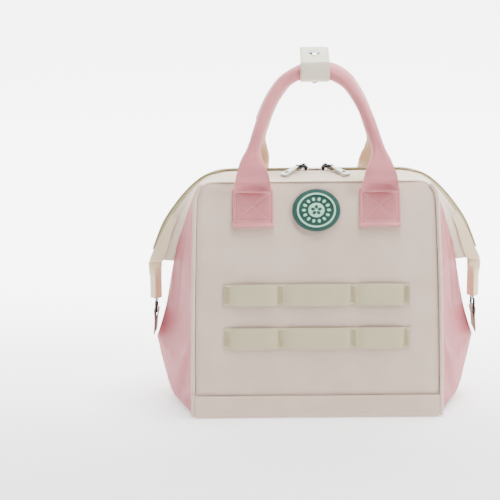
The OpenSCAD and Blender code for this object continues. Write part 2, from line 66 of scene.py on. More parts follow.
panel_low, panel_high = box("front_panel")
base_low, base_high = box("base_panel")
cap_low, cap_high = box("right_end_cap")
strap_low, strap_high = box("right_strap")
anchor_low = box("right_anchor_tab")[0]
ring_low, ring_high = box("right_ring")

HALF_D = -panel_low[1]
LEAN = 35 * MM
LEAN_POWER = 2.4
TOP = box("front_placket")[1][2] - 5 * MM   # the panels' top seam
SKIRT = base_high[2]                 # top of the skirt band
RIM = panel_high[2]                  # top of the panel cloth, just under the seam
CORNER = 15 * MM                     # rounding of the front panel's top corners
REAR_CORNER = 26 * MM
RIDGE = TOP + 5.5 * MM               # height of the zip
PIPE_OUT = 2.4 * MM                  # from the panel's edge to the middle of the piping
CLOTH = 2 * MM
HANDLE_X = 64 * MM
HANDLE_HINGE = (-49.5 * MM, 231 * MM)
GRIP_Y, GRIP_TOP = 10.5 * MM, 348 * MM


def face_y(z):
    """Distance of the front panel's outer face in front of the middle, at height z."""
    return HALF_D - LEAN * np.power(np.maximum(z, 0) / TOP, LEAN_POWER)


def face_slope(z):
    return LEAN * LEAN_POWER / TOP * np.power(np.maximum(z, 1e-6) / TOP, LEAN_POWER - 1)


def edge_x(z):
    """Half width of the panels at height z."""
    return panel_high[0] + 0.18 * MM - 5 * MM * np.power(np.maximum(z, 0) / TOP, 1.5)


def smooth01(t):
    """Rises smoothly from 0 to 1."""
    t = np.clip(t, 0, 1)
    return t * t * (3 - 2 * t)


def wobble(p, scale, seed=0):
    """Smooth repeatable noise from -1 to 1 at points p, an array ending in 3."""
    q = np.asarray(p) / scale
    s = seed * 1.7
    return (np.sin(q[..., 0] * 1.9 + 1.3 * np.sin(q[..., 2] * 1.1 + s) + s)
            + np.sin(q[..., 2] * 2.3 + 1.7 * np.sin(q[..., 0] * 0.9 - s) + 2.1 * s)
            + np.sin((q[..., 0] + q[..., 2]) * 1.3 + q[..., 1] * 1.7 + 0.6 + s)) / 3


def spline(points, n):
    """Catmull-Rom curve through points with n steps in each span."""
    p = np.asarray(points, float)
    p = np.vstack([p[:1], p, p[-1:]])
    out = []
    for i in range(1, len(p) - 2):
        a, b, c, d = p[i - 1], p[i], p[i + 1], p[i + 2]
        for k in range(n):
            t = k / n
            out.append(0.5 * (2 * b + (c - a) * t + (2 * a - 5 * b + 4 * c - d) * t * t
                              + (3 * b - a - 3 * c + d) * t ** 3))
    out.append(p[-2])
    return np.array(out)


def length(path):
    return float(np.linalg.norm(np.diff(path, axis=0), axis=1).sum())


def resample(path, n):
    """A path through the same places with n evenly spaced points."""
    path = np.asarray(path, float)
    s = np.r_[0, np.cumsum(np.linalg.norm(np.diff(path, axis=0), axis=1))]
    at = np.linspace(0, s[-1], n)
    return np.stack([np.interp(at, s, path[:, k]) for k in range(path.shape[1])], 1)


def unit(v):
    return v / np.maximum(np.linalg.norm(v, axis=-1, keepdims=True), 1e-12)


def points(x, y, z):
    """Arrays of coordinates that broadcast, as one array of points."""
    return np.stack(np.broadcast_arrays(x, y, z), -1).astype(float)


def border(shape):
    """True round the edge of a grid."""
    edge = np.ones(shape, bool)
    edge[1:-1, 1:-1] = False
    return edge


# ---------------------------------------------------------------- materials


def srgb(r, g, b):
    """A colour given as 0 to 255 display values, as linear light."""
    c = np.array([r, g, b]) / 255
    return tuple(np.where(c <= 0.04045, c / 12.92, ((c + 0.055) / 1.055) ** 2.4)) + (1.0,)


def new_material(name):
    """A material, its node tree and its shader."""
    m = bpy.data.materials.new(name)
    m.use_nodes = True
    tree = m.node_tree
    return m, tree, tree.nodes["Principled BSDF"]


def add(tree, kind, **values):
    """Adds a node and sets its properties and sockets. An underscore stands for a space."""
    node = tree.nodes.new(kind)
    for k, v in values.items():
        if hasattr(node, k):
            setattr(node, k, v)
        else:
            node.inputs[k.replace("_", " ")].default_value = v
    return node


def link(tree, output, node, socket):
    tree.links.new(output, node.inputs[socket])


def map_range(tree, value, to_low, to_high, low=0.0, high=1.0):
    """The value, taken from low..high to to_low..to_high."""
    node = add(tree, "ShaderNodeMapRange", From_Min=low, From_Max=high, To_Min=to_low, To_Max=to_high)
    link(tree, value, node, "Value")
    return node.outputs[0]


def mix_colours(tree, factor, a, b):
    node = tree.nodes.new("ShaderNodeMix")
    node.data_type = "RGBA"
    tree.links.new(factor, node.inputs[0])
    for socket, value in ((node.inputs[6], a), (node.inputs[7], b)):
        if isinstance(value, tuple):
            socket.default_value = value
        else:
            tree.links.new(value, socket)
    return node.outputs[2]


def wave(tree, way, scale, vector, distortion, **more):
    """Parallel bands across the X or Y direction."""
    bands = add(tree, "ShaderNodeTexWave", bands_direction=way, wave_profile="SIN", Scale=scale,
                Distortion=distortion, **more)
    link(tree, vector, bands, "Vector")
    return bands.outputs["Fac"]


def weave(tree, thread):
    """Height of a plain weave with threads this far apart, on the piece's own UV in metres."""
    coord = add(tree, "ShaderNodeTexCoord")
    k = math.pi / thread / 10
    mapping = add(tree, "ShaderNodeMapping", Scale=(k, k, k))
    link(tree, coord.outputs["UV"], mapping, "Vector")
    total = add(tree, "ShaderNodeMath", operation="MULTIPLY")
    for i, way in enumerate("XY"):
        link(tree, wave(tree, way, 1.0, mapping.outputs["Vector"], 0.4, Detail_Scale=0.6), total, i)
    return total.outputs[0]


def noise(tree, scale, detail=3.0):
    coord = add(tree, "ShaderNodeTexCoord")
    spots = add(tree, "ShaderNodeTexNoise", Scale=scale, Detail=detail)
    link(tree, coord.outputs["Object"], spots, "Vector")
    return spots.outputs["Fac"]


def bump(tree, shader, heights):
    """Adds bumps to the shader: a list of (height output, strength, distance)."""
    last = None
    for height, strength, distance in heights:
        layer = add(tree, "ShaderNodeBump", Strength=strength, Distance=distance)
        link(tree, height, layer, "Height")
        if last is not None:
            link(tree, last, layer, "Normal")
        last = layer.outputs["Normal"]
    link(tree, last, shader, "Normal")


def finish_shader(shader, **values):
    for name, value in values.items():
        shader.inputs[name.replace("_", " ")].default_value = value


def cloth_material(name, colour, deep, thread=0.45 * MM, rough=0.62, sheen=0.25):
    """Plain-woven cloth: threads, faint soft blotches, and painted shade: a little of the deep colour in the
    hollows between the threads.
    """
    m, tree, shader = new_material(name)
    threads = weave(tree, thread)
    blotch = map_range(tree, noise(tree, 28), 0.0, 0.25, low=0.35, high=0.7)
    base = mix_colours(tree, blotch, colour, deep)
    # painted shade: the hollows between the threads are mixed towards the deep colour
    grain = map_range(tree, threads, 0.16, 0.0)
    link(tree, mix_colours(tree, grain, base, deep), shader, "Base Color")
    finish_shader(shader, Roughness=rough, Sheen_Weight=sheen, Sheen_Roughness=0.45, Specular_IOR_Level=0.35)
    bump(tree, shader, [(noise(tree, 90, 2), 0.10, 0.6 * MM), (threads, 0.35, 0.12 * MM)])
    return m


def webbing_material(name, colour, deep, rib=1.5 * MM):
    """Ribbed webbing: cross ribs along its length, finer threads across, and painted shade: the deep colour
    in the hollows between them.
    """
    m, tree, shader = new_material(name)
    coord = add(tree, "ShaderNodeTexCoord")
    ribs = wave(tree, "X", math.pi / rib / 10, coord.outputs["UV"], 0.3)
    fine = weave(tree, 0.7 * MM)
    shade = add(tree, "ShaderNodeMath", operation="MULTIPLY")
    link(tree, ribs, shade, 0)
    link(tree, fine, shade, 1)
    # painted shade: the low parts of the ribs and threads are mixed towards the deep colour
    low = map_range(tree, shade.outputs[0], 0.35, 0.0)
    link(tree, mix_colours(tree, low, colour, deep), shader, "Base Color")
    finish_shader(shader, Roughness=0.7, Sheen_Weight=0.05)
    bump(tree, shader, [(ribs, 0.5, 0.3 * MM), (fine, 0.4, 0.15 * MM)])
    return m


def plain_material(name, colour, rough=0.4, metal=0.0, coat=0.0, grain=None, grain_bump=0.1):
    """Metal, rubber, leather or plastic with a little unevenness in its roughness and surface."""
    m, tree, shader = new_material(name)
    finish_shader(shader, Base_Color=colour, Metallic=metal, Coat_Weight=coat)
    span = map_range(tree, noise(tree, 260, 4), max(0.03, rough - 0.12), min(1, rough + 0.12))
    link(tree, span, shader, "Roughness")
    darker = tuple(c * 0.82 for c in colour[:3]) + (1.0,)
    tone = map_range(tree, noise(tree, 60, 4), 0.0, 0.5, low=0.4, high=0.75)
    link(tree, mix_colours(tree, tone, colour, darker), shader, "Base Color")
    if grain:
        bump(tree, shader, [(noise(tree, grain, 5), grain_bump, 0.2 * MM)])
    return m


MATERIALS = {
    "cream_cloth": cloth_material("cream cloth", srgb(217, 195, 179), srgb(176, 150, 134), sheen=0.06),
    # painted light: the placket is the cream cloth in a lighter copy, for its top-facing place
    "lit_cream_cloth": cloth_material("placket cloth", srgb(232, 214, 194), srgb(190, 168, 146), sheen=0.06),
    "pink_cloth": cloth_material("pink cloth", srgb(216, 134, 139), srgb(156, 80, 88), rough=0.46,
                                 sheen=0.08),
    # painted shade: the side cloth is the pink cloth in a darker copy, for sides that face away from the
    # light
    "shaded_pink_cloth": cloth_material("gusset cloth", srgb(200, 108, 116), srgb(142, 66, 76), rough=0.46,
                                   sheen=0.08),
    "lining_cloth": cloth_material("lining", srgb(150, 138, 128), srgb(110, 98, 90), thread=0.3 * MM,
                                   rough=0.5, sheen=0.05),
    "piping_cloth": cloth_material("piping", srgb(222, 200, 184), srgb(176, 148, 132), sheen=0.06),
    "webbing": webbing_material("front webbing", srgb(206, 196, 160), srgb(140, 130, 98)),
    "strap_webbing": webbing_material("strap webbing", srgb(250, 232, 196), srgb(206, 178, 138)),
    # painted shade: the handle's lining strip is the strap webbing in a darker copy, for its shaded place
    # between the handles
    "shaded_handle_lining": webbing_material("handle lining", srgb(226, 196, 160), srgb(160, 124, 92)),
    "taupe_webbing": webbing_material("anchor webbing", srgb(176, 146, 128), srgb(120, 94, 80)),
    "tape": webbing_material("zip tape", srgb(196, 184, 142), srgb(136, 124, 88), rib=0.9 * MM),
    "coil": plain_material("zip coil", srgb(170, 158, 112), 0.45),
    "thread": plain_material("thread", srgb(228, 208, 178), 0.7),
    # painted light: the bartack thread is the thread in a lighter copy, to lift the shade of the recess it
    # sits in
    "lit_tack_thread": plain_material("tack thread", srgb(246, 238, 210), 0.7),
    "pink_thread": plain_material("pink thread", srgb(240, 186, 186), 0.7),
    "badge_rubber": plain_material("badge rubber", srgb(34, 74, 66), 0.5, grain=900, grain_bump=0.15),
    "badge_pale": plain_material("badge marks", srgb(164, 218, 186), 0.5, grain=900, grain_bump=0.15),
    "gunmetal": plain_material("gunmetal", srgb(40, 42, 44), 0.28, metal=1.0),
    "pull_metal": plain_material("pull metal", srgb(176, 182, 180), 0.2, metal=1.0),
    "steel_wire": plain_material("wire", srgb(150, 152, 154), 0.35, metal=1.0),
    "leather": plain_material("leather", srgb(226, 218, 194), 0.45, coat=0.05, grain=420, grain_bump=0.25),
    "board": plain_material("board", srgb(120, 118, 114), 0.8),
    "rope": cloth_material("rope", srgb(225, 222, 210), srgb(180, 176, 160), thread=1.2 * MM),
}
SLOT_OF = {"shaded_pink_cloth": "pink_cloth", "lit_cream_cloth": "cream_cloth", "shaded_handle_lining": "strap_webbing",
           "pink_thread": "thread", "lit_tack_thread": "thread"}

# ---------------------------------------------------------------- meshes


def new_mesh(name, verts, faces):
    mesh = bpy.data.meshes.new(name)
    mesh.from_pydata([tuple(v) for v in verts], [], [tuple(int(i) for i in f) for f in faces])
    return mesh


def new_object(name, data):
    obj = bpy.data.objects.new(name, data)
    bpy.context.collection.objects.link(obj)
    return obj


def mesh_object(name, verts, faces, material, uvs=None, sharp=None):
    """A smooth object from arrays. uvs has one pair for each vertex, in metres."""
    mesh = new_mesh(name, verts, faces)
    if uvs is not None:
        layer = mesh.uv_layers.new(name="UVMap")
        loops = np.zeros(len(mesh.loops), np.int32)
        mesh.loops.foreach_get("vertex_index", loops)
        layer.data.foreach_set("uv", np.asarray(uvs, np.float32)[loops].ravel())
    mesh.validate()
    obj = new_object(name, mesh)
    mesh.materials.append(MATERIALS[material])
    mesh.shade_smooth()
    if sharp:
        mesh.set_sharp_from_angle(angle=math.radians(sharp))
    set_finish(obj, SLOT_OF.get(material, material))
    return obj


def grid_faces(n, m, offset=0, flip=False, wrap=False):
    """Quads over n rows of m points; wrap closes each row on itself."""
    i, k = np.meshgrid(np.arange(n - 1), np.arange(m if wrap else m - 1), indexing="ij")
    a = (i * m + k).ravel()
    b = (i * m + (k + 1) % m).ravel()
    quads = np.stack([a, b, b + m, a + m], 1) + offset
    return quads[:, ::-1] if flip else quads


def grid_uv(grid):
    """Lengths in metres along and across a grid, for its weave."""
    u = np.cumsum(np.r_[0, np.linalg.norm(np.diff(grid, axis=0), axis=2).mean(1)])
    v = np.cumsum(np.r_[0, np.linalg.norm(np.diff(grid, axis=1), axis=2).mean(0)])
    return np.stack(np.meshgrid(u, v, indexing="ij"), 2)


def end_faces(n, sides, offset=0):
    """Caps for the first and the last of n rings."""
    first, last = offset, offset + (n - 1) * sides
    return [tuple(range(first + sides - 1, first - 1, -1)), tuple(range(last, last + sides))]


def thick_sheet(name, grid, thickness, material, outward, edge=0.5 * MM, sharp=50):
    """A closed sheet: grid is its outer face, outward a rough direction of its outer side.
    The border is rounded by drawing both faces together over the last column of points."""
    grid = np.asarray(grid, float)
    n, m, _ = grid.shape
    normal = unit(np.cross(np.gradient(grid, axis=0), np.gradient(grid, axis=1)))
    if np.sum(normal * np.asarray(outward)) < 0:
        normal = -normal
    inner = grid - normal * thickness
    outer = grid.copy()
    rim = border((n, m))
    pull = min(edge, thickness * 0.35)
    outer[rim] -= (normal * pull)[rim]
    inner[rim] += (normal * pull)[rim]
    verts = np.vstack([outer.reshape(-1, 3), inner.reshape(-1, 3)])
    uv = grid_uv(grid).reshape(-1, 2)
    count = n * m
    flip = np.dot(np.cross(outer[1, 0] - outer[0, 0], outer[0, 1] - outer[0, 0]), normal[0, 0]) > 0
    faces = [grid_faces(n, m, 0, flip), grid_faces(n, m, count, not flip)]
    idx = np.arange(count).reshape(n, m)
    loop = np.r_[idx[0, :], idx[1:, -1], idx[-1, -2::-1], idx[-2:0:-1, 0]]
    following = np.roll(loop, -1)
    side = np.stack([loop, following, following + count, loop + count], 1)
    faces.append(side if flip else side[:, ::-1])
    return mesh_object(name, verts, np.vstack(faces), material, np.vstack([uv, uv]), sharp=sharp)


def tube(name, path, radius, material, sides=12):
    """A round bar along a path, with closed ends. radius may vary along it."""
    path = np.asarray(path, float)
    n = len(path)
    tangent = unit(np.gradient(path, axis=0))
    side = np.zeros_like(path)
    last = np.cross(tangent[0], [0.31, 0.17, 0.93])
    for i in range(n):
        last = last - tangent[i] * np.dot(last, tangent[i])
        last = last / np.linalg.norm(last)
        side[i] = last
    up = np.cross(side, tangent)
    angle = np.arange(sides) * 2 * math.pi / sides
    r = np.ones(n) * radius
    rings = path[:, None] + r[:, None, None] * (np.cos(angle)[None, :, None] * side[:, None]
                                                 + np.sin(angle)[None, :, None] * up[:, None])
    faces = list(grid_faces(n, sides, wrap=True)) + end_faces(n, sides)
    run = np.r_[0, np.cumsum(np.linalg.norm(np.diff(rings[:, 0], axis=0), axis=1))]
    uv = np.stack(np.meshgrid(run, angle * np.mean(r), indexing="ij"), 2).reshape(-1, 2)
    return mesh_object(name, rings.reshape(-1, 3), faces, material, uv, sharp=60)


def join(name, objects):
    """Merges objects of one material into the first."""
    for o in bpy.context.selected_objects:
        o.select_set(False)
    for o in objects:
        o.select_set(True)
    bpy.context.view_layer.objects.active = objects[0]
    bpy.ops.object.join()
    objects[0].name = name
    return objects[0]


def stitches(name, path, normal, material="thread", pitch=3.2 * MM, long=2.2 * MM, radius=0.28 * MM):
    """A row of stitches lying on a path; normal points away from the cloth."""
    path = np.asarray(path, float)
    count = max(2, int(length(path) / pitch))
    middle = resample(path, count * 2 + 1)
    normal = np.broadcast_to(np.asarray(normal, float), path.shape)
    normals = unit(resample(np.hstack([path, normal]), count * 2 + 1)[:, 3:])
    sides, verts, faces = 6, [], []
    angle = np.arange(sides) * 2 * math.pi / sides
    for i in range(1, 2 * count, 2):
        t = unit(middle[i + 1] - middle[i - 1])
        n = unit(normals[i] - t * np.dot(t, normals[i]))
        b = np.cross(t, n)
        start = len(verts)
        for s, k, lift in ((-0.5, 0.35, -0.3), (-0.3, 1, 0.25), (0.3, 1, 0.25), (0.5, 0.35, -0.3)):
            c = middle[i] + t * s * long + n * radius * lift
            verts += [c + radius * k * (math.cos(a) * n + math.sin(a) * b) for a in angle]
        faces += list(grid_faces(4, sides, start, wrap=True)) + end_faces(4, sides, start)
    return mesh_object(name, verts, faces, material)


def settle(grid, held, push, frames=24, shrink=0.0, stiffness=12.0):
    """Lets a grid of cloth find its own shape: held points stay, push is an outward pressure."""
    n, m, _ = grid.shape
    mesh = new_mesh("cloth run", grid.reshape(-1, 3), grid_faces(n, m))
    obj = new_object("cloth run", mesh)
    group = obj.vertex_groups.new(name="held")
    group.add([int(i) for i in np.flatnonzero(held.ravel())], 1.0, "REPLACE")
    cloth = obj.modifiers.new("Cloth", "CLOTH")
    s = cloth.settings
    s.quality = 6
    s.mass = 0.2
    s.tension_stiffness = s.compression_stiffness = s.shear_stiffness = stiffness
    s.bending_stiffness = 0.6
    s.air_damping = 2.0
    s.shrink_min = s.shrink_max = -shrink
    s.vertex_group_mass = "held"
    s.use_pressure = True
    s.uniform_pressure_force = push
    cloth.point_cache.frame_start = 1
    cloth.point_cache.frame_end = frames
    scene = bpy.context.scene
    gravity = tuple(scene.gravity)
    scene.gravity = (0, 0, -1.0)
    for f in range(1, frames + 1):
        scene.frame_set(f)
    shape = obj.evaluated_get(bpy.context.evaluated_depsgraph_get()).data
    co = np.zeros(n * m * 3, np.float32)
    shape.vertices.foreach_get("co", co)
    scene.gravity = gravity
    scene.frame_set(1)
    bpy.data.objects.remove(obj)
    bpy.data.meshes.remove(mesh)
    return co.reshape(n, m, 3).astype(float)


def mirrored(obj, name):
    """A copy of obj mirrored from the front to the rear."""
    mesh = obj.data.copy()
    count = len(mesh.vertices)
    co = np.zeros(count * 3, np.float32)
    mesh.vertices.foreach_get("co", co)
    co = co.reshape(-1, 3)
    co[:, 1] *= -1
    mesh.vertices.foreach_set("co", co.ravel())
    mesh.flip_normals()
    other = new_object(name, mesh)
    other["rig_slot"] = obj["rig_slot"]
    return other


def stand_in(obj, node, body):
    """The piece takes the CAD node's place and moves with its body."""
    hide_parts(node)
    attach(obj, body)


# ---------------------------------------------------------------- panels


def panel_rows(corner=CORNER):
    """Heights of the panel's rows and its half width at each, round the top corners."""
    low = np.linspace(SKIRT + 0.3 * MM, RIM - corner, 52)[:-1]
    arc = np.radians(np.linspace(0, 90, 15))
    z = np.r_[low, RIM - corner + corner * np.sin(arc)]
    width = np.r_[edge_x(low), edge_x(RIM - corner) - corner + corner * np.cos(arc)]
    return z, width


def padded_panel(corner):
    """The panel's outer face: puffed between its seams, with faint creases under the top seam."""
    z, width = panel_rows(corner)
    u = np.linspace(-1, 1, 73)
    x = width[:, None] * u[None]
    zz = np.repeat(z[:, None], len(u), 1)
    grid = np.stack([x, -face_y(zz) + 0.7 * MM, zz], 2)
    held = border(zz.shape)
    for side in (-1, 1):
        held |= (np.abs(x - side * HANDLE_X) < 18 * MM) & (zz > 197 * MM) & (zz < 228 * MM)
    grid[..., 1] += 0.25 * MM * wobble(grid, 30 * MM, 2)
    grid = settle(grid, held, push=-0.9, frames=22)
    edge = np.minimum.reduce([(1 - np.abs(u))[None] * width[:, None], zz - z[0], (z[-1] - zz) + 0 * x])
    puff = 1 - np.exp(-np.maximum(edge, 0) / (5 * MM))
    base = -face_y(zz)
    out = np.clip(base - grid[..., 1], -0.6 * MM, 1.2 * MM)
    grid[..., 1] = base + 1.3 * MM - 1.2 * MM * puff - out * 0.6
    crease = np.exp(-((zz - (RIM - 9 * MM)) / (3.5 * MM)) ** 2) * 0.25 * MM
    crease = crease * (0.5 + 0.5 * wobble(grid, 22 * MM, 5))
    grid[..., 1] += crease + 0.16 * MM * wobble(grid, 55 * MM, 8) * puff
    return grid


front_panel = thick_sheet("front_panel_cloth", padded_panel(CORNER), CLOTH * 0.9, "cream_cloth", (0, -1, 0))
rear_panel = thick_sheet("rear_panel_cloth", padded_panel(REAR_CORNER) * np.array([1, -1, 1]), CLOTH * 0.9,
                         "cream_cloth", (0, 1, 0))
for obj, body, node in ((front_panel, "front_side", "front_panel"), (rear_panel, "rear_side", "rear_panel")):
    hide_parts(node)
    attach(obj, body)


def panel_lining():
    """The lining behind a panel, a little slack."""
    z, width = panel_rows(REAR_CORNER)
    keep = z > SKIRT + 2.8 * MM
    z, width = z[keep][::3], width[keep][::3]
    u = np.linspace(-1, 1, 31)
    x = (width[:, None] - 3 * MM) * u[None]
    zz = np.repeat(z[:, None], len(u), 1)
    y = -face_y(zz) + 2.6 * MM + 0.25 * MM * wobble(np.stack([x, 0 * x, zz], 2), 24 * MM, 3)
    return np.stack([x, y, zz], 2)


lining_grid = panel_lining()
front_lining = thick_sheet("front_lining_cloth", lining_grid, 0.5 * MM, "lining_cloth", (0, 1, 0))
rear_lining = mirrored(front_lining, "rear_lining_cloth")
for obj, body, node in ((front_lining, "front_side", "front_lining"),
                        (rear_lining, "rear_side", "rear_lining")):
    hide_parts(node)
    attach(obj, body)


def seam_allowance(corner, way):
    """The turned-in cloth seen in the slit between a panel's top edge and the placket."""
    arc = np.radians(np.linspace(20, 90, 14))
    x = edge_x(RIM - corner) - corner + corner * np.cos(arc)
    z = RIM - corner + corner * np.sin(arc)
    out = np.stack([np.cos(arc), np.sin(arc)], 1)
    x, z = np.r_[x, np.linspace(x[-1], 0, 12)[1:]], np.r_[z, np.full(11, RIM)]
    out = np.vstack([out, np.tile([0.0, 1.0], (11, 1))])
    x, z, out = np.r_[x, -x[-2::-1]], np.r_[z, z[-2::-1]], np.vstack([out, out[-2::-1] * np.array([-1, 1])])
    v = np.linspace(-2.2 * MM, 1.1 * MM, 4)
    xx = x[:, None] + out[:, :1] * v[None]
    zz = z[:, None] + out[:, 1:] * v[None]
    grid = np.stack([xx, way * (-face_y(zz) + 2.0 * MM), zz], 2)
    return thick_sheet("seam_allowance", grid, 0.4 * MM, "piping_cloth", (0, -way, 0), edge=0.1 * MM)


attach(seam_allowance(CORNER, 1), "front_side")
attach(seam_allowance(REAR_CORNER, -1), "rear_side")

# piping: a corded roll beside the panel, and its stitched flange
PIPE = 2.1 * MM


def piping_path(low):
    """The front right piping, from a height up and into the corner."""
    z = np.linspace(low, RIM - CORNER, 40)
    side = np.stack([edge_x(z) + PIPE_OUT, z], 1)
    centre = np.array([edge_x(RIM) - CORNER, RIM - CORNER])
    arc = np.radians(np.linspace(4, 50, 12))
    corner = centre + (CORNER + PIPE_OUT) * np.stack([np.cos(arc), np.sin(arc)], 1)
    flat = np.vstack([side, corner])
    return np.stack([flat[:, 0], -face_y(flat[:, 1]) + 0.8 * MM, flat[:, 1]], 1)


pipe_line = resample(piping_path(SKIRT + 3 * MM), 120)
rear_line = resample(pipe_line[pipe_line[:, 2] < 219 * MM], 120)
pipe_r = PIPE * (1 + 0.03 * wobble(pipe_line, 6 * MM, 1))
for end, way, body in (("front", 1, "front_side"), ("rear", -1, "rear_side")):
    pieces = []
    line = pipe_line if way > 0 else rear_line
    for s in (-1, 1):
        flip = np.array([s, way, 1])
        pieces.append(tube(f"{end}_piping_roll_{s}", line * flip, pipe_r, "piping_cloth", 14))
    roll = join(f"{end}_piping_cloth", pieces)
    stand_in(roll, f"{end}_piping", body)
    rows = []
    inset = line + np.array([-4.4 * MM, -0.55 * MM, 0])
    for s in (-1, 1):
        path = inset[4:96] * np.array([s, way, 1])
        rows.append(stitches(f"{end}_seam_{s}", path, (0, -way, 0), pitch=4 * MM))
    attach(join(f"{end}_seam_stitches", rows), body)

# ---------------------------------------------------------------- base

base_half = box("corner_piping")[1][0] - 4.2 * MM


def skirt_grid():
    """Cloth from the front skirt's top edge, under the bag and up to the rear skirt's top edge."""
    half = -base_low[1]
    r = 5 * MM
    top = np.stack([-half * np.ones(12), np.linspace(SKIRT, r, 12)], 1)
    arc = np.radians(np.linspace(180, 270, 10))
    turn = np.stack([-half + r + r * np.cos(arc), r + r * np.sin(arc)], 1)
    floor = np.stack([np.linspace(-half + r, 0, 20), np.zeros(20)], 1)
    left = np.vstack([top[:-1], turn[:-1], floor])
    profile = np.vstack([left, left[-2::-1] * np.array([-1, 1])])
    x = np.linspace(-base_half, base_half, 61)
    grid = points(x[None], profile[:, :1], profile[:, 1:])
    band = np.clip(grid[..., 2] / SKIRT, 0, 1)
    puff = np.sin(np.pi * band) * 0.45 * MM
    soft = puff + 0.2 * MM * wobble(grid, 26 * MM, 6) * (band > 0.15)
    grid[..., 1] -= np.sign(grid[..., 1]) * (0.6 * MM - soft) * (band > 0.05)
    return grid


skirt = thick_sheet("base_cloth", skirt_grid(), 1.7 * MM, "cream_cloth", np.zeros(3), edge=0.5 * MM)


def base_ends():
    """The bottom's two pointed ends, to be joined to the skirt cloth."""
    tip = base_high[0]
    y = np.linspace(-1, 1, 25)
    parts = []
    for s in (-1, 1):
        half = HALF_D - 5 * MM
        out = base_half - 1 * MM + (tip - base_half) * (1 - np.abs(y) ** 1.3)
        rows = np.linspace(0, 1, 6)[:, None]
        root = base_half - 3 * MM
        grid = points(s * (root + rows * (out - root)), y[None] * half, 0.15 * MM)
        parts.append(thick_sheet(f"base_end_{s}", grid, 1.5 * MM, "cream_cloth", (0, 0, -1)))
    return parts


skirt = join("base_cloth", [skirt] + base_ends())
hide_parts("base_panel")
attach(skirt, "bag_base")

floor_low, floor_high = box("base_lining")
x = np.linspace(floor_low[0], floor_high[0], 30)[:, None]
y = np.linspace(floor_low[1], floor_high[1], 20)[None]
slack = 0.2 * MM * wobble(points(x, 0, y), 22 * MM, 4)
base_lining = thick_sheet("base_lining_cloth", points(x, y, floor_high[2] + slack), 0.5 * MM, "lining_cloth",
                          (0, 0, 1))
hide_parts("base_lining")
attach(base_lining, "bag_base")

corner = []
z = np.linspace(2.4 * MM, SKIRT + 2.4 * MM, 16)
for s in (-1, 1):
    for way in (-1, 1):
        path = np.stack([s * (edge_x(z) + PIPE_OUT), way * (face_y(z) - 0.8 * MM), z], 1)
        corner.append(tube(f"corner_{s}_{way}", path, PIPE, "piping_cloth", 14))
corner = join("corner_piping_cloth", corner)
stand_in(corner, "corner_piping", "bag_base")
rows = []
for way in (-1, 1):
    x = np.linspace(-base_half + 4 * MM, base_half - 4 * MM, 40)
    path = points(x, way * (-base_low[1] - 0.55 * MM), SKIRT - 2.4 * MM)
    rows.append(stitches(f"skirt_stitch_{way}", path, (0, way, 0), pitch=4 * MM))
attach(join("skirt_stitches", rows), "bag_base")
# the turned-in edge seen in the slit above the skirt
for way in (-1, 1):
    z = np.linspace(SKIRT - 3 * MM, SKIRT + 3 * MM, 4)[:, None]
    grid = points(np.linspace(-1, 1, 9) * edge_x(SKIRT), way * (face_y(z) - 1.5 * MM), z)
    strip = thick_sheet("skirt_edge", grid, 0.3 * MM, "piping_cloth", (0, way, 0), edge=0.1 * MM)
    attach(strip, "bag_base")

# ---------------------------------------------------------------- curves of the mouth

# half curves in millimetres, from the middle of the zip to the right wing's end
ridge = RIDGE / MM
coil_half = [(0, -1.5, ridge), (30, -1.5, ridge), (60, -1.5, ridge), (86, -1.5, ridge),
             (100, -1.5, ridge - 2), (111.5, -1.5, ridge - 5.6), (122, -1.5, ridge - 12.2),
             (133, -1.5, ridge - 22.5), (145, -1.5, ridge - 37), (158, -1.5, ridge - 57),
             (169.5, -1.8, ridge - 86)]
outer_half = [(0, -5.5, 245), (30, -5.5, 245), (60, -5.5, 245), (86, -5.5, 245), (99, -5.5, 243),
              (110, -5.6, 239.4), (120, -5.7, 232.5), (131, -5.8, 221.5), (142, -6, 207.5),
              (155.5, -6, 186.5), (170, -6, 151.5)]
inner_half = [(0, -40, 240), (30, -40, 240), (60, -40, 240), (86, -40, 240), (101, -39.4, 239.8),
              (112, -37.4, 238.2), (121, -34, 230.5), (128, -28.6, 214), (134, -22, 196),
              (141, -13, 173), (147, -7.5, 150)]
STEPS = 8


def full(half):
    """The whole curve from the left wing's end to the right one's, in metres."""
    p = spline(np.array(half) * MM, STEPS)
    return np.vstack([p[:0:-1] * np.array([-1, 1, 1]), p])


# the rear's corners sit a little lower
rear_half = [(x, y, z - 4.5 * math.exp(-((x - 117) / 11) ** 2)) for x, y, z in inner_half]
coil_path, outer_path, inner_path = full(coil_half), full(outer_half), full(inner_half)
rear_inner = full(rear_half)
across = unit(inner_path - outer_path)
along = unit(np.gradient(inner_path, axis=0))
inward = unit(np.cross(along, across))
width = np.linalg.norm(inner_path - outer_path, axis=1)


# ---------------------------------------------------------------- gussets

FOLD_X, FOLD_Z = 167 * MM, 68 * MM   # the point of the side fold
FOOT_X = 143 * MM                    # half width at the floor
CREST_X, CREST_Z = 144.5 * MM, 150 * MM   # the crest at the wings' ends


def crest_x(z):
    """Half width of the side fold's crest at height z."""
    low = FOOT_X + (FOLD_X - FOOT_X) * np.power(np.clip(z / FOLD_Z, 0, 1), 0.55)
    mid = FOLD_X + (CREST_X - FOLD_X) * np.power(np.clip((z - FOLD_Z) / (CREST_Z - FOLD_Z), 0, 1), 0.85)
    high = CREST_X + (124 * MM - CREST_X) * (z - CREST_Z) / (90 * MM)
    return np.where(z < FOLD_Z, low, np.where(z < CREST_Z, mid, high))


def crest_y(z):
    """Half the breadth of the crest, which is rounded at the base."""
    return 0.4 * MM + 14 * MM * np.square(np.clip(1 - z / FOLD_Z, 0, 1))


